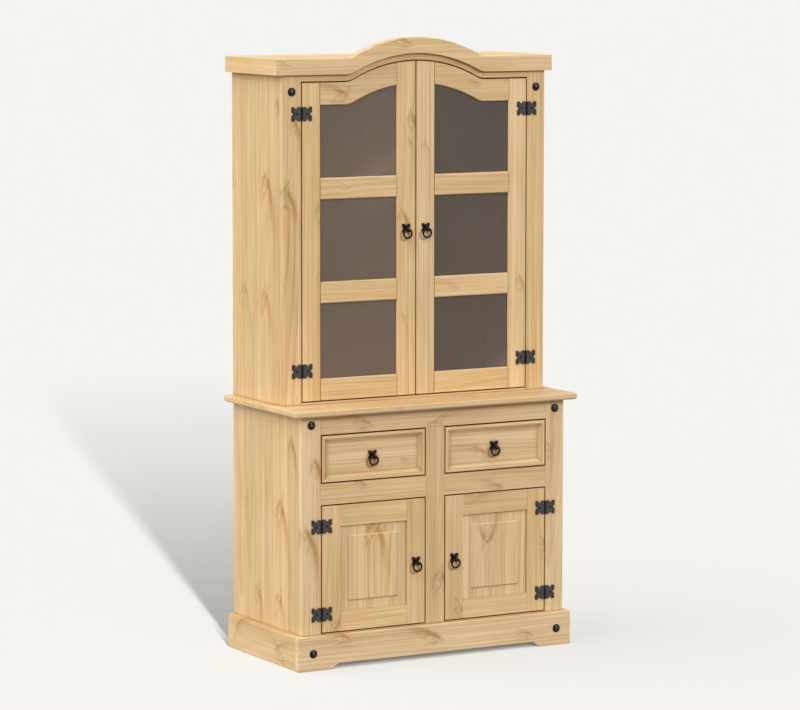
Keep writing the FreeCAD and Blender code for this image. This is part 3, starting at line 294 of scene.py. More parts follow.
def make_pine_figure():
    """Node group: grain of one pine board, from places along, across and into it."""
    group = bpy.data.node_groups.new("pine_figure", "ShaderNodeTree")
    for name in ("Along", "Across", "Depth", "Centre", "Swell", "Seed A", "Seed B", "Seed C"):
        group.interface.new_socket(name, in_out="INPUT", socket_type="NodeSocketFloat")
    for name in ("Tone", "Relief"):
        group.interface.new_socket(name, in_out="OUTPUT", socket_type="NodeSocketFloat")
    g = Graph(group)
    inputs = g.node("NodeGroupInput").outputs
    outputs = g.node("NodeGroupOutput").inputs
    along, across, depth, centre, swell, first, second, third = inputs[:8]
    shifted = g.math("ADD", along, g.math("MULTIPLY", first, 7.0))
    bent = g.math("ADD", centre, g.math("MULTIPLY", second, 3.0))
    wander_place = g.vector(g.math("MULTIPLY", shifted, 1.6), g.math("MULTIPLY", bent, 6.0),
                            g.math("MULTIPLY", depth, 6.0))
    wander = g.math("SUBTRACT", g.noise(wander_place, 1.0, 3.0), 0.5)
    pith_side = g.math("MULTIPLY", g.math("SUBTRACT", second, 0.5), 0.13)
    pith_depth = g.math("ADD", 0.040, g.math("MULTIPLY", third, 0.070))
    taper = g.math("MULTIPLY", g.math("SINE", g.math("MULTIPLY", shifted, 2.3)), 0.014)
    sideways = g.math("ADD", g.math("SUBTRACT", centre, pith_side), g.math("MULTIPLY", wander, 0.026))
    inwards = g.math("ADD", g.math("ADD", pith_depth, taper), depth)
    radius = g.math("SQRT", g.math("ADD", g.math("MULTIPLY", sideways, sideways),
                                   g.math("MULTIPLY", inwards, inwards)))
    radius = g.math("ADD", radius, swell)
    spacing_place = g.vector(g.math("MULTIPLY", radius, 30.0), first, second)
    spacing_noise = g.math("MULTIPLY", g.noise(spacing_place, 1.0, 2.0), RING_UNEVENNESS)
    rings = g.math("FRACT", g.math("ADD", g.math("MULTIPLY", radius, RINGS_PER_METRE), spacing_noise))
    late_wood = g.ramp(rings, ((0.0, 0.10), (0.50, 0.25), (0.84, 1.0), (0.92, 0.8), (1.0, 0.12)))
    strength_place = g.vector(g.math("MULTIPLY", shifted, 0.9), g.math("MULTIPLY", radius, 24.0), third)
    strength = g.ramp(g.noise(strength_place, 1.0, 2.0), ((0.35, 0.15), (0.68, 1.0)))
    ring_tone = g.math("MULTIPLY", late_wood, strength)
    flow = g.math("ADD", bent, g.math("MULTIPLY", swell, 0.8))
    flow = g.math("ADD", flow, g.math("MULTIPLY", wander, 0.012))
    band_place = g.vector(g.math("MULTIPLY", shifted, 0.75), g.math("MULTIPLY", flow, 24.0),
                          g.math("MULTIPLY", depth, 24.0))
    band = g.ramp(g.noise(band_place, 1.0, 3.0, 0.55), ((0.28, 0.0), (0.72, 1.0)))
    cloud_place = g.vector(g.math("MULTIPLY", shifted, 4.0), g.math("MULTIPLY", flow, 18.0),
                           g.math("MULTIPLY", depth, 18.0))
    cloud = g.ramp(g.noise(cloud_place, 1.0, 2.0, 0.5), ((0.30, 0.0), (0.75, 1.0)))
    streak_place = g.vector(g.math("MULTIPLY", shifted, 1.5), g.math("MULTIPLY", flow, 150.0),
                            g.math("MULTIPLY", depth, 60.0))
    streak = g.ramp(g.noise(streak_place, 1.0, 3.0, 0.6), ((0.32, 0.0), (0.70, 1.0)))
    fibre_place = g.vector(g.math("MULTIPLY", shifted, 14.0), g.math("MULTIPLY", bent, 900.0),
                           g.math("MULTIPLY", depth, 120.0))
    fibre = g.noise(fibre_place, 1.0, 2.0, 0.6)
    tone = g.math("MULTIPLY", band, BAND_TONE)
    tone = g.math("ADD", tone, g.math("MULTIPLY", cloud, CLOUD_TONE))
    tone = g.math("ADD", tone, g.math("MULTIPLY", ring_tone, RING_TONE))
    tone = g.math("ADD", tone, g.math("MULTIPLY", streak, STREAK_TONE))
    fibre_part = g.math("MULTIPLY", g.math("SUBTRACT", fibre, 0.5), FIBRE_TONE)
    tone = g.math("ADD", tone, fibre_part, clamp=True)
    relief = g.math("ADD", g.math("MULTIPLY", ring_tone, -0.5), g.math("MULTIPLY", fibre, 0.6))
    g.join(tone, outputs["Tone"])
    g.join(relief, outputs["Relief"])
    return group


KNOT_FIGURE = make_knot_figure()
PINE_FIGURE = make_pine_figure()
AXES = {"X": 0, "Y": 1, "Z": 2}


def make_pine(name, grain, face, seed, strip=10.0, strip_start=-5.0, stretch=10.0, stretch_start=-5.0,
              knots=(), lean=0.6, tint=PLAIN_BOARD, reach=CREVICE_SHADE_REACH, painted_shade=BOARD_PAINTED_SHADE):
    """Pine for one node. grain names the axes along, across and into its boards.

    face is where the seen face lies on the last axis; strip and stretch are the width and
    length of one board, and a board's figure is its own. Each knot is (along, across, size,
    slant, tail): the tail is a darker arch below it, or above it where it is negative. The
    lean says which side of the arches is the darker one; a knot may have its own as a sixth
    value. The tint colours the whole board. Painted shade darkens the wood in gaps and corners
    as far as reach, and the last argument says how strong it is.
    """
    material, g, shader = new_material("pine_" + name)
    place = g.split(g.node("ShaderNodeTexCoord").outputs["Object"])
    along, across, level = (place[AXES[axis]] for axis in grain)
    depth = g.math("ABSOLUTE", g.math("SUBTRACT", level, face))
    strip_count = g.math("DIVIDE", g.math("SUBTRACT", across, strip_start), strip)
    row = g.math("FLOOR", strip_count)
    column = g.math("FLOOR", g.math("DIVIDE", g.math("SUBTRACT", along, stretch_start), stretch))
    white = g.node("ShaderNodeTexWhiteNoise", noise_dimensions="3D")
    g.join(g.vector(row, column, seed), white.inputs["Vector"])
    chance = g.split(white.outputs["Color"])
    centre = g.math("MULTIPLY", g.math("SUBTRACT", g.math("SUBTRACT", strip_count, row), 0.5), strip)
    sums = {"Swell": 0.0, "Streak": 0.0, "Core": 0.0, "Shade": 0.0}
    for knot_along, knot_across, size, slant, tail, *own_lean in knots:
        knot = g.node("ShaderNodeGroup", node_tree=KNOT_FIGURE)
        g.join(g.math("SUBTRACT", along, knot_along), knot.inputs["Along"])
        g.join(g.math("SUBTRACT", across, knot_across), knot.inputs["Across"])
        leans = own_lean[0] if own_lean else lean
        for socket, value in (("Size", size), ("Slant", slant), ("Tail", tail), ("Lean", leans)):
            knot.inputs[socket].default_value = value
        for output, total in sums.items():
            sums[output] = g.math("ADD", total, knot.outputs[output])
    figure = g.node("ShaderNodeGroup", node_tree=PINE_FIGURE)
    for socket, value in zip(figure.inputs, (along, across, depth, centre, sums["Swell"], *chance)):
        g.feed(socket, value)
    shade = g.math("MULTIPLY", sums["Shade"], KNOT_SHADE)
    tone = g.math("ADD", figure.outputs["Tone"], shade, clamp=True)
    stops = ((0.0, linear(PINE_LIGHT)), (0.40, linear(PINE_MIDDLE)), (1.0, linear(PINE_DARK)))
    wood = g.ramp(tone, stops)
    if knots:
        streak = g.math("MULTIPLY", sums["Streak"], KNOT_STREAK, clamp=True)
        core = g.math("MULTIPLY", sums["Core"], KNOT_CORE, clamp=True)
        wood = g.mix(streak, wood, linear(PINE_STREAK))
        wood = g.mix(core, wood, linear(PINE_KNOT))
    board_shade = g.math("ADD", 0.93, g.math("MULTIPLY", chance[2], 0.12))
    shades = g.vector(*(g.math("MULTIPLY", board_shade, part) for part in tint))
    colour = g.mix(1.0, wood, shades, "MULTIPLY")
    colour = g.mix(chance[0], colour, (*PINE_RED, 1.0), "MULTIPLY")
    # Painted shade darkens the colour in gaps and corners
    g.join(g.painted_shade(colour, reach, painted_shade), shader.inputs["Base Color"])
    g.join(g.math("ADD", 0.44, g.math("MULTIPLY", tone, 0.14)), shader.inputs["Roughness"])
    shader.inputs["Specular IOR Level"].default_value = PINE_SHINE
    g.join(g.bump(figure.outputs["Relief"], 0.25, 0.0004), shader.inputs["Normal"])
    return material


# Iron and glass

def make_iron(name, colour, roughness, dent, shine, axis=None):
    """Black iron with a hammered, slightly uneven skin. A hinge leaf carries painted shade in a dark
    band along its barrel and darkens towards its tips.
    """
    material, g, shader = new_material(name)
    place = g.node("ShaderNodeTexCoord").outputs["Object"]
    dents = g.noise(place, 420.0, 2.0, 0.5)
    grains = g.noise(place, 2600.0, 2.0, 0.6)
    tone = g.ramp(dents, ((0.3, 0.75), (0.7, 1.25)))
    tinted = g.mix(1.0, linear(colour), tone, "MULTIPLY")
    if axis is not None:
        # A dark band along the barrel is painted shade; the leaf also darkens towards its tips
        away = g.math("ABSOLUTE", g.math("SUBTRACT", g.math("ABSOLUTE", g.split(place)[0]), axis))
        share = g.math("DIVIDE", away, HINGE_REACH)
        dark = g.ramp(share, ((0.09, 1.0), (0.15, 0.0), (0.65, 0.0), (0.9, 0.55)))
        tinted = g.mix(dark, tinted, linear(DARK_IRON_AND_BARREL_SHADE))
    g.join(tinted, shader.inputs["Base Color"])
    rough = g.math("ADD", roughness, g.math("MULTIPLY", g.math("SUBTRACT", grains, 0.5), 0.2))
    g.join(rough, shader.inputs["Roughness"])
    shader.inputs["Specular IOR Level"].default_value = shine
    height = g.math("ADD", dents, g.math("MULTIPLY", grains, 0.25))
    g.join(g.bump(height, 0.5, dent), shader.inputs["Normal"])
    return material


def make_glass(name, tint, pale_place):
    """Slightly smoked pane, a thin veil over a view of the inside.

    A soft painted reflection lies round pale_place and ends at a slanted edge.
    """
    material, g, shader = new_material(name)
    place = g.node("ShaderNodeTexCoord").outputs["Object"]
    haze = g.ramp(g.noise(place, 2.2, 2.0, 0.5), ((0.3, 0.0), (0.8, 0.6)))
    away = g.node("ShaderNodeVectorMath", operation="DISTANCE")
    g.join(place, away.inputs[0])
    away.inputs[1].default_value = pale_place
    patch = g.ramp(away.outputs["Value"], ((0.0, 1.0), (0.16, 0.0)))
    parts = g.split(place)
    rise = g.math("ADD", g.math("MULTIPLY", g.math("SUBTRACT", parts[0], pale_place[0]), 0.55),
                  g.math("SUBTRACT", pale_place[2], parts[2]))
    edge = g.ramp(g.math("ADD", g.math("MULTIPLY", rise, 20.0), 0.5), ((0.0, 0.15), (1.0, 1.0)))
    amount = g.math("ADD", g.math("MULTIPLY", haze, 0.6), g.math("MULTIPLY", patch, edge), clamp=True)
    pale = tuple(part * PALE_GLASS for part in tint)
    g.join(g.mix(amount, linear(tint), linear(pale)), shader.inputs["Base Color"])
    shader.inputs["Roughness"].default_value = 0.08
    shader.inputs["Alpha"].default_value = GLASS_ALPHA
    shader.inputs["Specular IOR Level"].default_value = GLASS_SHINE
    return material


def make_worn_highlight_pine():
    """Pine for eased edges: smoother where hands and cloths wore it, a little uneven, and paler as a
    painted highlight; gaps and corners take painted shade.
    """
    material, g, shader = new_material("pine_worn_highlight_edge")
    place = g.node("ShaderNodeTexCoord").outputs["Object"]
    wear_highlight = g.ramp(g.noise(place, 35.0, 3.0, 0.6), ((0.30, 0.0), (0.70, 1.0)))
    colour = g.mix(wear_highlight, linear(PINE_MIDDLE), linear(PINE_WORN_HIGHLIGHT))
    g.join(g.painted_shade(colour, CREVICE_SHADE_REACH, EDGE_PAINTED_SHADE), shader.inputs["Base Color"])
    g.join(g.math("SUBTRACT", 0.48, g.math("MULTIPLY", wear_highlight, 0.12)), shader.inputs["Roughness"])
    shader.inputs["Specular IOR Level"].default_value = EDGE_SHINE
    g.join(g.bump(g.noise(place, 600.0, 2.0, 0.6), 0.3, 0.0003), shader.inputs["Normal"])
    return material


def paint(node, *materials):
    """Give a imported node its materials: its faces take the first, its eased edges the last."""
    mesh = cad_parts[node].data
    mesh.materials.clear()
    for material in materials:
        mesh.materials.append(material)


def ease_edges(node, width):
    """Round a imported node's sharp edges with modifiers, so that they catch the light."""
    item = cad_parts[node]
    weld = item.modifiers.new("weld", "WELD")
    weld.merge_threshold = WELD_DISTANCE
    bevel = item.modifiers.new("ease", "BEVEL")
    bevel.width = width
    bevel.segments = 2
    bevel.limit_method = "ANGLE"
    bevel.angle_limit = EASE_ANGLE
    bevel.harden_normals = True
    bevel.use_clamp_overlap = True
    # The eased edges take the last material, paler as a painted highlight
    bevel.material = len(item.data.materials) - 1


# Boards: the grain of each node, its seen face, its strips and its knots

BASE_FRONT = -0.20825
BASE_SIDE = 0.4465
HUTCH_FRONT = -0.08925
HUTCH_SIDE = 0.446
PLINTH_FRONT = -0.22125
CROWN_FRONT = -0.09875
HINGE_AXIS = 0.38275
HINGE_REACH = 0.0335

UPRIGHT_BOARDS = dict(grain="ZXY", strip=0.3, strip_start=-0.9)
LEVEL_BOARDS = dict(grain="XZY", strip=0.3, strip_start=0.0)
CURVED_BOARDS = ("crown_front", "hutch_fascia", "hutch_door_left_top_rail", "hutch_door_right_top_rail")

# Some boards set how far and how strongly painted shade darkens their gaps and corners
BOARDS = {
    "base_side_left": dict(grain="ZYX", lean=-0.6, face=-BASE_SIDE, strip=0.092, strip_start=-0.2083,
                           knots=((0.465, 0.150, 0.009, 0.1, 0.0), (0.455, -0.067, 0.017, 0.3, 1.0),
                                  (0.188, 0.080, 0.013, 0.25, 0.6), (0.180, -0.056, 0.015, 0.4, 0.6),
                                  (0.655, -0.140, 0.012, 0.1, 1.0))),
    "base_side_right": dict(grain="ZYX", face=BASE_SIDE, strip=0.088, strip_start=-0.2083,
                            knots=((0.40, 0.02, 0.016, -0.2, 1.0), (0.62, 0.15, 0.012, 0.2, 0.6),
                                   (0.21, -0.10, 0.014, 0.3, 0.5))),
    "base_back": dict(grain="ZXY", face=0.23675, strip=0.22, strip_start=-0.44),
    "base_shelves": dict(grain="XYZ", face=0.105, strip=0.105, strip_start=-0.21),
    "base_outer_stiles": dict(UPRIGHT_BOARDS, face=BASE_FRONT, tint=PALE_BOARD,
                              knots=((0.600, -0.405, 0.011, 0.1, 1.0), (0.390, -0.436, 0.015, 0.1, 0.9),
                                     (0.596, 0.389, 0.009, 0.1, 0.0), (0.125, 0.389, 0.003, 0.0, 0.0))),
    "base_centre_stile": dict(UPRIGHT_BOARDS, face=BASE_FRONT, strip_start=-1.05,
                              knots=((0.235, 0.014, 0.015, -0.3, 0.8),)),
    "base_top_rail": dict(LEVEL_BOARDS, face=BASE_FRONT, tint=PALE_BOARD,
                          knots=((-0.245, 0.717, 0.012, 0.2, 0.5), (0.0, 0.700, 0.010, 0.1, -0.5))),
    "base_middle_rails": dict(LEVEL_BOARDS, face=BASE_FRONT, stretch=1.0, stretch_start=-1.0,
                              knots=((-0.248, 0.536, 0.008, 0.4, 0.5),
                                     (0.211, 0.496, 0.009, 0.1, 0.6))),
    "drawer_runners": dict(grain="YZX", face=0.0),
    "base_top": dict(grain="XYZ", face=0.7685, strip=0.094, strip_start=-0.2368, reach=PANEL_SHADE_REACH,
                     knots=((-0.150, -0.235, 0.008, 0.1, 0.4), (0.16, -0.14, 0.010, 0.2, 0.5))),
    # The cream tint of the plinth front is in part a painted highlight
    "plinth_front": dict(LEVEL_BOARDS, face=PLINTH_FRONT, tint=CREAM_BOARD,
                         knots=((-0.318, 0.085, 0.011, 0.3, 0.7), (-0.013, 0.058, 0.013, 0.2, 0.9),
                                (0.31, 0.04, 0.009, 0.2, 0.4))),
    "plinth_sides": dict(grain="YZX", face=-0.466, strip=1.0, strip_start=-0.5,
                         knots=((0.167, 0.069, 0.013, 1.1, 0.5), (-0.093, 0.040, 0.013, -0.9, 0.5))),
    "hutch_side_left": dict(grain="ZYX", lean=-0.6, face=-HUTCH_SIDE, strip=0.083, strip_start=-0.0893,
                            knots=((1.415, 0.021, 0.017, 0.45, 1.0), (1.426, 0.234, 0.010, 0.1, 0.0),
                                   (1.087, 0.162, 0.013, 0.3, 0.5), (1.075, 0.030, 0.015, 0.45, 0.6),
                                   (1.645, -0.054, 0.010, 0.05, 1.0))),
    "hutch_side_right": dict(grain="ZYX", face=HUTCH_SIDE, strip=0.086, strip_start=-0.0893,
                             knots=((1.30, 0.10, 0.015, -0.3, 1.0), (0.98, -0.01, 0.013, 0.3, 0.6),
                                    (1.60, 0.19, 0.010, 0.2, 0.5))),
    "hutch_back": dict(grain="ZXY", face=0.23075, strip=0.088, strip_start=-0.44),
    "hutch_shelves": dict(grain="XYZ", face=0.787, strip=0.10, strip_start=-0.09, reach=PANEL_SHADE_REACH),
    "hutch_roof": dict(grain="XYZ", face=1.7854, strip=0.10, strip_start=-0.09),
    "hutch_stiles": dict(UPRIGHT_BOARDS, face=HUTCH_FRONT,
                         knots=((1.590, -0.409, 0.009, 0.1, 0.8), (1.385, -0.438, 0.014, -0.2, 1.0),
                                (0.789, -0.402, 0.003, 0.0, 0.0))),
    "hutch_fascia": dict(grain="XZY", face=HUTCH_FRONT),
    "crown_front": dict(grain="XZY", face=CROWN_FRONT, tint=PALE_BOARD,
                        knots=((-0.441, 1.763, 0.007, 0.1, 0.3), (-0.047, 1.825, 0.011, 0.2, 0.5))),
    "crown_sides": dict(grain="YZX", face=-0.468),
    "hutch_door_left_stiles": dict(UPRIGHT_BOARDS, face=HUTCH_FRONT,
                                   knots=((1.336, -0.325, 0.011, 0.0, 0.7),
                                          (1.129, -0.325, 0.007, 0.1, 0.0),
                                          (1.597, -0.017, 0.011, 0.1, 0.7),
                                          (1.536, -0.026, 0.006, 0.2, 0.3),
                                          (1.310, -0.047, 0.011, 0.2, 0.8),
                                          (1.013, -0.047, 0.006, 0.1, 0.3))),
    "hutch_door_left_top_rail": dict(grain="XZY", face=HUTCH_FRONT,
                                     knots=((-0.251, 1.674, 0.012, -0.6, 0.8),)),
    "hutch_door_left_rails": dict(LEVEL_BOARDS, face=HUTCH_FRONT,
                                  knots=((-0.238, 1.406, 0.006, 0.2, 0.2),)),
    "hutch_door_right_stiles": dict(UPRIGHT_BOARDS, face=HUTCH_FRONT, tint=PALE_BOARD,
                                    knots=((1.10, 0.360, 0.009, 0.1, 0.5),
                                           (1.52, 0.030, 0.007, 0.1, 0.4))),
    "hutch_door_right_top_rail": dict(grain="XZY", face=HUTCH_FRONT,
                                      knots=((0.20, 1.700, 0.008, 0.1, 0.3),)),
    "hutch_door_right_rails": dict(LEVEL_BOARDS, face=HUTCH_FRONT,
                                   knots=((0.13, 1.09, 0.007, 0.1, 0.3),)),
    "base_door_left_stiles": dict(UPRIGHT_BOARDS, face=BASE_FRONT,
                                  knots=((0.136, -0.337, 0.013, -0.5, -0.6),)),
    "base_door_left_rails": dict(LEVEL_BOARDS, face=BASE_FRONT),
    "base_door_left_panel": dict(grain="ZXY", face=-0.20625, strip=0.125, strip_start=-0.270,
                                 tint=PALE_BOARD, reach=PANEL_SHADE_REACH,
                                 knots=((0.398, -0.208, 0.015, -0.75, 0.9),)),
    "base_door_right_stiles": dict(UPRIGHT_BOARDS, face=BASE_FRONT,
                                   knots=((0.142, 0.080, 0.011, 0.3, -0.5),
                                          (0.31, 0.374, 0.008, 0.1, 0.5))),
    "base_door_right_rails": dict(LEVEL_BOARDS, face=BASE_FRONT,
                                  knots=((0.150, 0.478, 0.009, 0.1, 0.6),)),
    "base_door_right_panel": dict(grain="ZXY", face=-0.20625, lean=-0.6, strip=0.125, strip_start=0.120,
                                  tint=PALE_BOARD, reach=PANEL_SHADE_REACH,
                                  knots=((0.352, 0.183, 0.013, -0.5, -0.9, 0.0),)),
    "drawer_left_front": dict(LEVEL_BOARDS, face=BASE_FRONT, tint=PALE_BOARD,
                              reach=MOULDING_SHADE_REACH, painted_shade=EDGE_PAINTED_SHADE,
                              knots=((-0.10, 0.60, 0.005, 0.1, 0.2),)),
    "drawer_left_box": dict(grain="YZX", face=-0.3795),
    "drawer_left_bottom": dict(grain="XYZ", face=0.57),
    "drawer_right_front": dict(LEVEL_BOARDS, face=BASE_FRONT, tint=CREAM_BOARD,
                               reach=MOULDING_SHADE_REACH, painted_shade=EDGE_PAINTED_SHADE,
                               knots=((0.172, 0.594, 0.011, 0.9, 0.5),)),
    "drawer_right_box": dict(grain="YZX", face=0.3795),
    "drawer_right_bottom": dict(grain="XYZ", face=0.57),
}


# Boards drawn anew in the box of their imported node. Each row of a profile is an inset from the
# outline and, for a drawer front, a depth from its seen face or, for the top, a height

DRAWER_PROFILE = ((0.0, 0.020), (0.0, 0.0010), (0.0003, 0.0003), (0.0010, 0.0), (0.0086, 0.0),
                  (0.0090, 0.0004), (0.0092, 0.0018), (0.0100, 0.0018), (0.0118, 0.0026),
                  (0.0142, 0.0046), (0.0168, 0.0070), (0.0190, 0.0084), (0.0206, 0.0086),
                  (0.0212, 0.0100))
DRAWER_FRAME_ROWS = 12
# Rows that take the worn edge pine, paler as a painted highlight
DRAWER_HIGHLIGHT_ROWS = (1, 2, 4)
TOP_PROFILE = ((0.0048, 0.0), (0.0006, 0.0038), (0.0, 0.0050), (0.0, 0.0160), (0.0003, 0.0170),
               (0.0010, 0.0177), (0.0022, 0.0180))
# Rows that take the worn edge pine, paler as a painted highlight
TOP_HIGHLIGHT_ROWS = (0, 1, 3, 4, 5)
TOP_CORNER = 0.006
CORNER_STEPS = 4


def node_box(node):
    """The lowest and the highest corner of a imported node."""
    corners = [Vector(corner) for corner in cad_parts[node].bound_box]
    low = Vector([min(corner[axis] for corner in corners) for axis in range(3)])
    high = Vector([max(corner[axis] for corner in corners) for axis in range(3)])
    return low, high


def loft(name, rings, materials, pick_material):
    """A closed board through rings of points; pick_material gives the slot of each row's faces."""
    shape = bmesh.new()
    layers = [[shape.verts.new(point) for point in ring] for ring in rings]
    shape.faces.new(layers[0])
    shape.faces.new(layers[-1])
    for row, (first, second) in enumerate(zip(layers, layers[1:])):
        for index in range(len(first)):
            following = (index + 1) % len(first)
            face = shape.faces.new((first[index], first[following], second[following], second[index]))
            face.material_index = pick_material(row, index)
    bmesh.ops.recalc_face_normals(shape, faces=shape.faces)
    mesh = bpy.data.meshes.new(name)
    shape.to_mesh(mesh)
    shape.free()
    for material in materials:
        mesh.materials.append(material)
    board = bpy.data.objects.new(name, mesh)
    bpy.context.scene.collection.objects.link(board)
    return board


def shape_drawer_front(node, style, pine, worn_highlight):
    """Front with a moulded frame, mitred at its corners, round a sunk field."""
    low, high = node_box(node)
    rings = []
    for inset, depth in DRAWER_PROFILE:
        y = low.y + depth
        rings.append([(low.x + inset, y, low.z + inset), (high.x - inset, y, low.z + inset),
                      (high.x - inset, y, high.z - inset), (low.x + inset, y, high.z - inset)])
    # The moulding takes strong painted shade in its hollows
    upright = make_pine(node + "_frame", face=BASE_FRONT, seed=style["seed"] + 0.5,
                        reach=MOULDING_SHADE_REACH, painted_shade=EDGE_PAINTED_SHADE, **UPRIGHT_BOARDS)

    def pick_material(row, side):
        if row in DRAWER_HIGHLIGHT_ROWS:
            return 2
        return 1 if side % 2 and row < DRAWER_FRAME_ROWS else 0

    return loft(node + "_board", rings, (pine, upright, worn_highlight), pick_material)


def shape_top(node, style, pine, worn_highlight):
    """Top board with a crisp, slightly eased upper edge, a chamfer below it and small round corners."""
    low, high = node_box(node)
    rings = []
    for inset, height in TOP_PROFILE:
        radius = TOP_CORNER - inset
        ring = []
        corners = ((high.x, high.y), (low.x, high.y), (low.x, low.y), (high.x, low.y))
        for corner, (x, y) in enumerate(corners):
            x += math.copysign(TOP_CORNER, -x)
            y += math.copysign(TOP_CORNER, -y)
            for step in range(CORNER_STEPS + 1):
                angle = math.pi / 2 * (corner + step / CORNER_STEPS)
                ring.append((x + math.cos(angle) * radius, y + math.sin(angle) * radius, low.z + height))
        rings.append(ring)

    def pick_material(row, side):
        return 1 if row in TOP_HIGHLIGHT_ROWS else 0

    return loft(node + "_board", rings, (pine, worn_highlight), pick_material)


SHAPED_BOARDS = {
    "base_top": (shape_top, "carcass"),
    "drawer_left_front": (shape_drawer_front, "drawer_left"),
    "drawer_right_front": (shape_drawer_front, "drawer_right"),
}


def dress_boards():
    worn_highlight = make_worn_highlight_pine()
    for seed, (node, style) in enumerate(BOARDS.items(), start=1):
        style = dict(style, seed=float(seed))
        pine = make_pine(node, **style)
        if node in SHAPED_BOARDS:
            draw, body = SHAPED_BOARDS[node]
            board = draw(node, style, pine, worn_highlight)
            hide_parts(node)
            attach(board, body)
        else:
            paint(node, pine, worn_highlight)
            ease_edges(node, CURVE_EASE if node in CURVED_BOARDS else BOARD_EASE)


def dress_iron():
    leaf = make_iron("hinge_iron", HINGE_IRON, roughness=0.50, dent=0.0002, shine=0.20, axis=HINGE_AXIS)
    barrel = make_iron("barrel_iron", DARK_IRON_AND_BARREL_SHADE, roughness=0.45, dent=0.0001, shine=0.20)
    black = make_iron("pull_iron", BLACK_IRON, roughness=0.27, dent=0.0002, shine=0.25)
    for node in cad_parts:
        if node == "hinge_pins":
            paint(node, barrel)
        elif "hinge" in node:
            paint(node, leaf)
            ease_edges(node, IRON_EASE)
        elif "pull_ring" in node:
            paint(node, black)
            round_rod(node)
        elif "pull" in node or node == "clavos":
            paint(node, black)
            ease_edges(node, IRON_EASE)
    drive_screws(black)


def round_rod(node):
    """Smooth a ring's straight lengths into a round rod of the ring's own thickness."""
    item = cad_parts[node]
    weld = item.modifiers.new("weld", "WELD")
    weld.merge_threshold = WELD_DISTANCE
    smooth = item.modifiers.new("round", "SUBSURF")
    smooth.levels = 2
    smooth.render_levels = 2
    swell = item.modifiers.new("swell", "DISPLACE")
    swell.mid_level = 0.0
    swell.strength = RING_SWELL


# Screws, one in the middle of each hinge leaf

SCREW_RADIUS = 0.0031
SCREW_HEIGHT = 0.0013
SCREW_OFFSET = 0.0175
LEAF_THICKNESS = 0.002
SLOT_HALF_SHARE = 0.16
SCREW_RIM_SHARE = 0.35
SCREW_STEPS = 10
SCREW_SEED = 7
SCREW_PROFILE = ((1.0, 0.0), (0.97, 0.45), (0.80, 0.80), (0.45, 0.97))
HUTCH_HINGES = (0.383, HUTCH_FRONT, (0.8689, 1.6245))
BASE_HINGES = (0.3825, BASE_FRONT, (0.1635, 0.424))


def make_screw_head(name, turn):
    """Mesh of a domed head with a slot: a low disc that carries two half domes."""
    shape = bmesh.new()
    disc = []
    for index in range(SCREW_STEPS * 2):
        angle = math.pi * index / SCREW_STEPS
        x, y = math.cos(angle) * SCREW_RADIUS, math.sin(angle) * SCREW_RADIUS
        disc.append(shape.verts.new((x, y, 0)))
    top = [shape.verts.new((v.co.x, v.co.y, SCREW_HEIGHT * SCREW_RIM_SHARE)) for v in disc]
    shape.faces.new(top)
    for index in range(SCREW_STEPS * 2):
        following = (index + 1) % (SCREW_STEPS * 2)
        shape.faces.new((disc[index], disc[following], top[following], top[index]))
    tilt = math.asin(SLOT_HALF_SHARE)
    for half_turn in (0.0, math.pi):
        layers = []
        for share, rise in SCREW_PROFILE:
            layer = []
            for index in range(SCREW_STEPS + 1):
                angle = tilt + (math.pi - 2 * tilt) * index / SCREW_STEPS
                x, y = math.cos(angle) * share, max(math.sin(angle) * share, SLOT_HALF_SHARE)
                spun = Vector((x, y, 0)) * SCREW_RADIUS
                spun.rotate(Euler((0, 0, half_turn)))
                layer.append(shape.verts.new((spun.x, spun.y, SCREW_HEIGHT * rise)))
            layers.append(layer)
        for lower, upper in zip(layers, layers[1:]):
            for index in range(SCREW_STEPS):
                shape.faces.new((lower[index], lower[index + 1], upper[index + 1], upper[index]))
            shape.faces.new((lower[-1], lower[0], upper[0], upper[-1]))
        shape.faces.new(layers[-1])
    spin = Euler((0, 0, turn)).to_matrix()
    bmesh.ops.transform(shape, matrix=spin.to_4x4(), verts=shape.verts)
    bmesh.ops.recalc_face_normals(shape, faces=shape.faces)
    mesh = bpy.data.meshes.new(name)
    shape.to_mesh(mesh)
    shape.free()
    return mesh


def drive_screws(material):
    chance = random.Random(SCREW_SEED)
    for door, (axis, front, levels) in (("hutch_door", HUTCH_HINGES), ("base_door", BASE_HINGES)):
        for side, sign in (("left", -1), ("right", 1)):
            for index, level in enumerate(levels):
                for leaf, across in (("frame", axis + SCREW_OFFSET), ("door", axis - SCREW_OFFSET)):
                    name = f"screw_{door}_{side}_{index}_{leaf}"
                    mesh = make_screw_head(name, chance.uniform(0, math.pi))
                    mesh.materials.append(material)
                    screw = bpy.data.objects.new(name, mesh)
                    screw.location = (sign * across, front - LEAF_THICKNESS, level)
                    screw.rotation_euler = Euler((math.pi / 2, 0, 0))
                    bpy.context.scene.collection.objects.link(screw)
                    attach(screw, "carcass" if leaf == "frame" else f"{door}_{side}")


def dress_glass():
    # The left pane is painted lighter than the right, as painted light
    left = make_glass("smoked_glass_left", LEFT_GLASS, (-0.14, HUTCH_FRONT, 1.47))
    right = make_glass("smoked_glass_right", RIGHT_GLASS, (0.30, HUTCH_FRONT, 0.87))
    paint("hutch_door_left_glass", left)
    paint("hutch_door_right_glass", right)


# Floor, light and camera

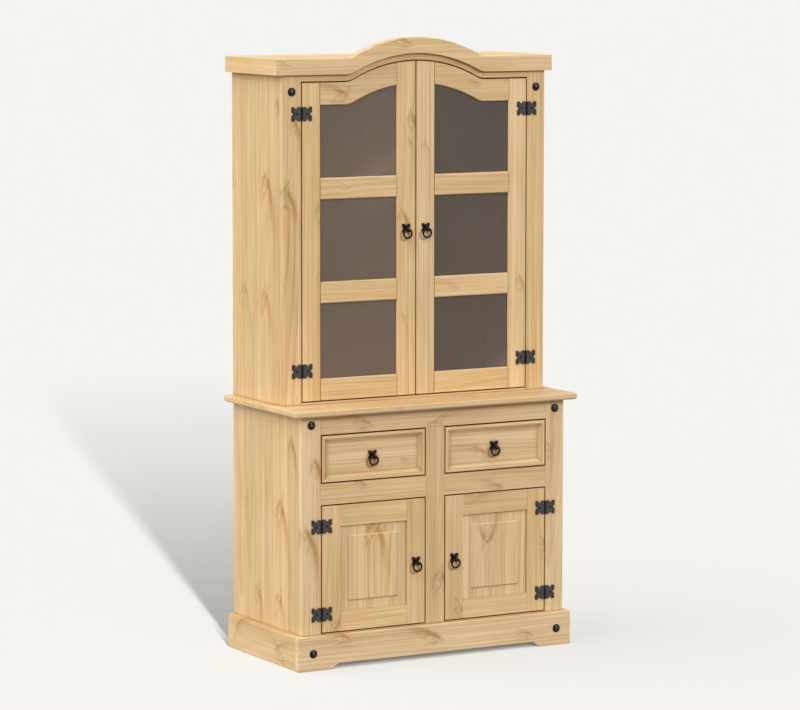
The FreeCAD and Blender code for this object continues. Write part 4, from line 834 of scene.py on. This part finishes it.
def make_floor():
    """A wide floor that glows evenly where it is seen and lights the object plainly from below."""
    mesh = bpy.data.meshes.new("floor")
    corners = [(x * FLOOR_HALF, y * FLOOR_HALF, 0) for x, y in ((-1, -1), (1, -1), (1, 1), (-1, 1))]
    mesh.from_pydata(corners, [], [(0, 1, 2, 3)])
    floor = bpy.data.objects.new("floor", mesh)
    bpy.context.scene.collection.objects.link(floor)
    material, g, shader = new_material("floor_paint")
    colour = linear(FLOOR_COLOUR)
    shader.inputs["Base Color"].default_value = (*(part * FLOOR_PAINT for part in colour[:3]), 1.0)
    shader.inputs["Roughness"].default_value = 1.0
    shader.inputs["Specular IOR Level"].default_value = 0.0
    shader.inputs["Emission Color"].default_value = colour
    shader.inputs["Emission Strength"].default_value = FLOOR_GLOW
    bounce = g.node("ShaderNodeEmission")
    bounce.inputs["Color"].default_value = colour
    bounce.inputs["Strength"].default_value = FLOOR_BOUNCE
    chooser = g.node("ShaderNodeMixShader")
    g.join(g.seen_ray(), chooser.inputs["Fac"])
    g.join(bounce.outputs[0], chooser.inputs[1])
    g.join(shader.outputs[0], chooser.inputs[2])
    g.join(chooser.outputs[0], material.node_tree.nodes["Material Output"].inputs["Surface"])
    mesh.materials.append(material)
    return floor


def make_shadow_lamps(floor):
    """Far lamps that light only the floor; each one's shadow ends further back than the last."""
    only_floor = bpy.data.collections.new("shadow_floor")
    only_floor.objects.link(floor)
    for step in range(SHADOW_STEPS):
        share = (step + 0.5) / SHADOW_STEPS
        reach = SHADOW_REACH * (1.0 - share ** SHADOW_FADE)
        elevation = math.atan2(SHADOW_CASTER_HEIGHT, reach)
        sun = bpy.data.lights.new(f"shadow_lamp_{step}", "SUN")
        sun.angle = SHADOW_LAMP_ANGLE
        sun.energy = SHADOW_DEPTH / SHADOW_STEPS * math.pi / (FLOOR_PAINT * math.sin(elevation))
        lamp = bpy.data.objects.new(sun.name, sun)
        lamp.rotation_euler = Euler((math.pi / 2 - elevation, 0.0, -SHADOW_HEADING))
        lamp.light_linking.receiver_collection = only_floor
        bpy.context.scene.collection.objects.link(lamp)


def make_light():
    """An even room with a broad glow; whoever looks at it sees the floor's colour."""
    world = bpy.data.worlds.new("studio")
    world.use_nodes = True
    bpy.context.scene.world = world
    g = Graph(world.node_tree)
    background = world.node_tree.nodes["Background"]
    toward = g.node("ShaderNodeVectorMath", operation="DOT_PRODUCT")
    g.join(g.node("ShaderNodeTexCoord").outputs["Generated"], toward.inputs[0])
    toward.inputs[1].default_value = GLOW_HEADING
    glow = g.math("POWER", g.math("MAXIMUM", toward.outputs["Value"], 0.0), GLOW_SPREAD)
    strength = g.math("ADD", ROOM_LIGHT, g.math("MULTIPLY", glow, GLOW_LIGHT))
    g.join(strength, background.inputs["Strength"])
    background.inputs["Color"].default_value = (1.0, 1.0, 1.0, 1.0)
    shown = g.node("ShaderNodeBackground")
    shown.inputs["Color"].default_value = linear(FLOOR_COLOUR)
    chooser = g.node("ShaderNodeMixShader")
    g.join(g.seen_ray(), chooser.inputs["Fac"])
    g.join(background.outputs[0], chooser.inputs[1])
    g.join(shown.outputs[0], chooser.inputs[2])
    g.join(chooser.outputs[0], world.node_tree.nodes["World Output"].inputs["Surface"])


def make_key_lamp(floor):
    """Soft lamp that shades the mouldings and gives the iron its highlights; the floor goes without."""
    sun = bpy.data.lights.new("key_lamp", "SUN")
    sun.angle = KEY_ANGLE
    sun.energy = KEY_LIGHT * math.pi
    lamp = bpy.data.objects.new(sun.name, sun)
    lamp.rotation_euler = KEY_HEADING.to_track_quat("Z", "Y").to_euler()
    all_but_floor = bpy.data.collections.new("all_but_floor")
    all_but_floor.objects.link(floor)
    lamp.light_linking.receiver_collection = all_but_floor
    all_but_floor.collection_objects[0].light_linking.link_state = "EXCLUDE"
    bpy.context.scene.collection.objects.link(lamp)


def make_camera():
    lens = bpy.data.cameras.new("camera")
    lens.sensor_width = SENSOR_WIDTH
    lens.lens = SENSOR_WIDTH * FOCAL_LENGTH_PX / PHOTO_WIDTH_PX
    lens.clip_start = CAMERA_NEAR
    lens.clip_end = CAMERA_FAR
    camera = bpy.data.objects.new("camera", lens)
    camera.location = CAMERA_PLACE
    camera.rotation_euler = Euler((math.pi / 2 + CAMERA_PITCH, CAMERA_ROLL, CAMERA_YAW))
    bpy.context.scene.collection.objects.link(camera)
    bpy.context.scene.camera = camera


dress_boards()
dress_iron()
dress_glass()
floor = make_floor()
make_shadow_lamps(floor)
make_key_lamp(floor)
make_light()
make_camera()
bpy.context.scene.view_settings.view_transform = "Standard"
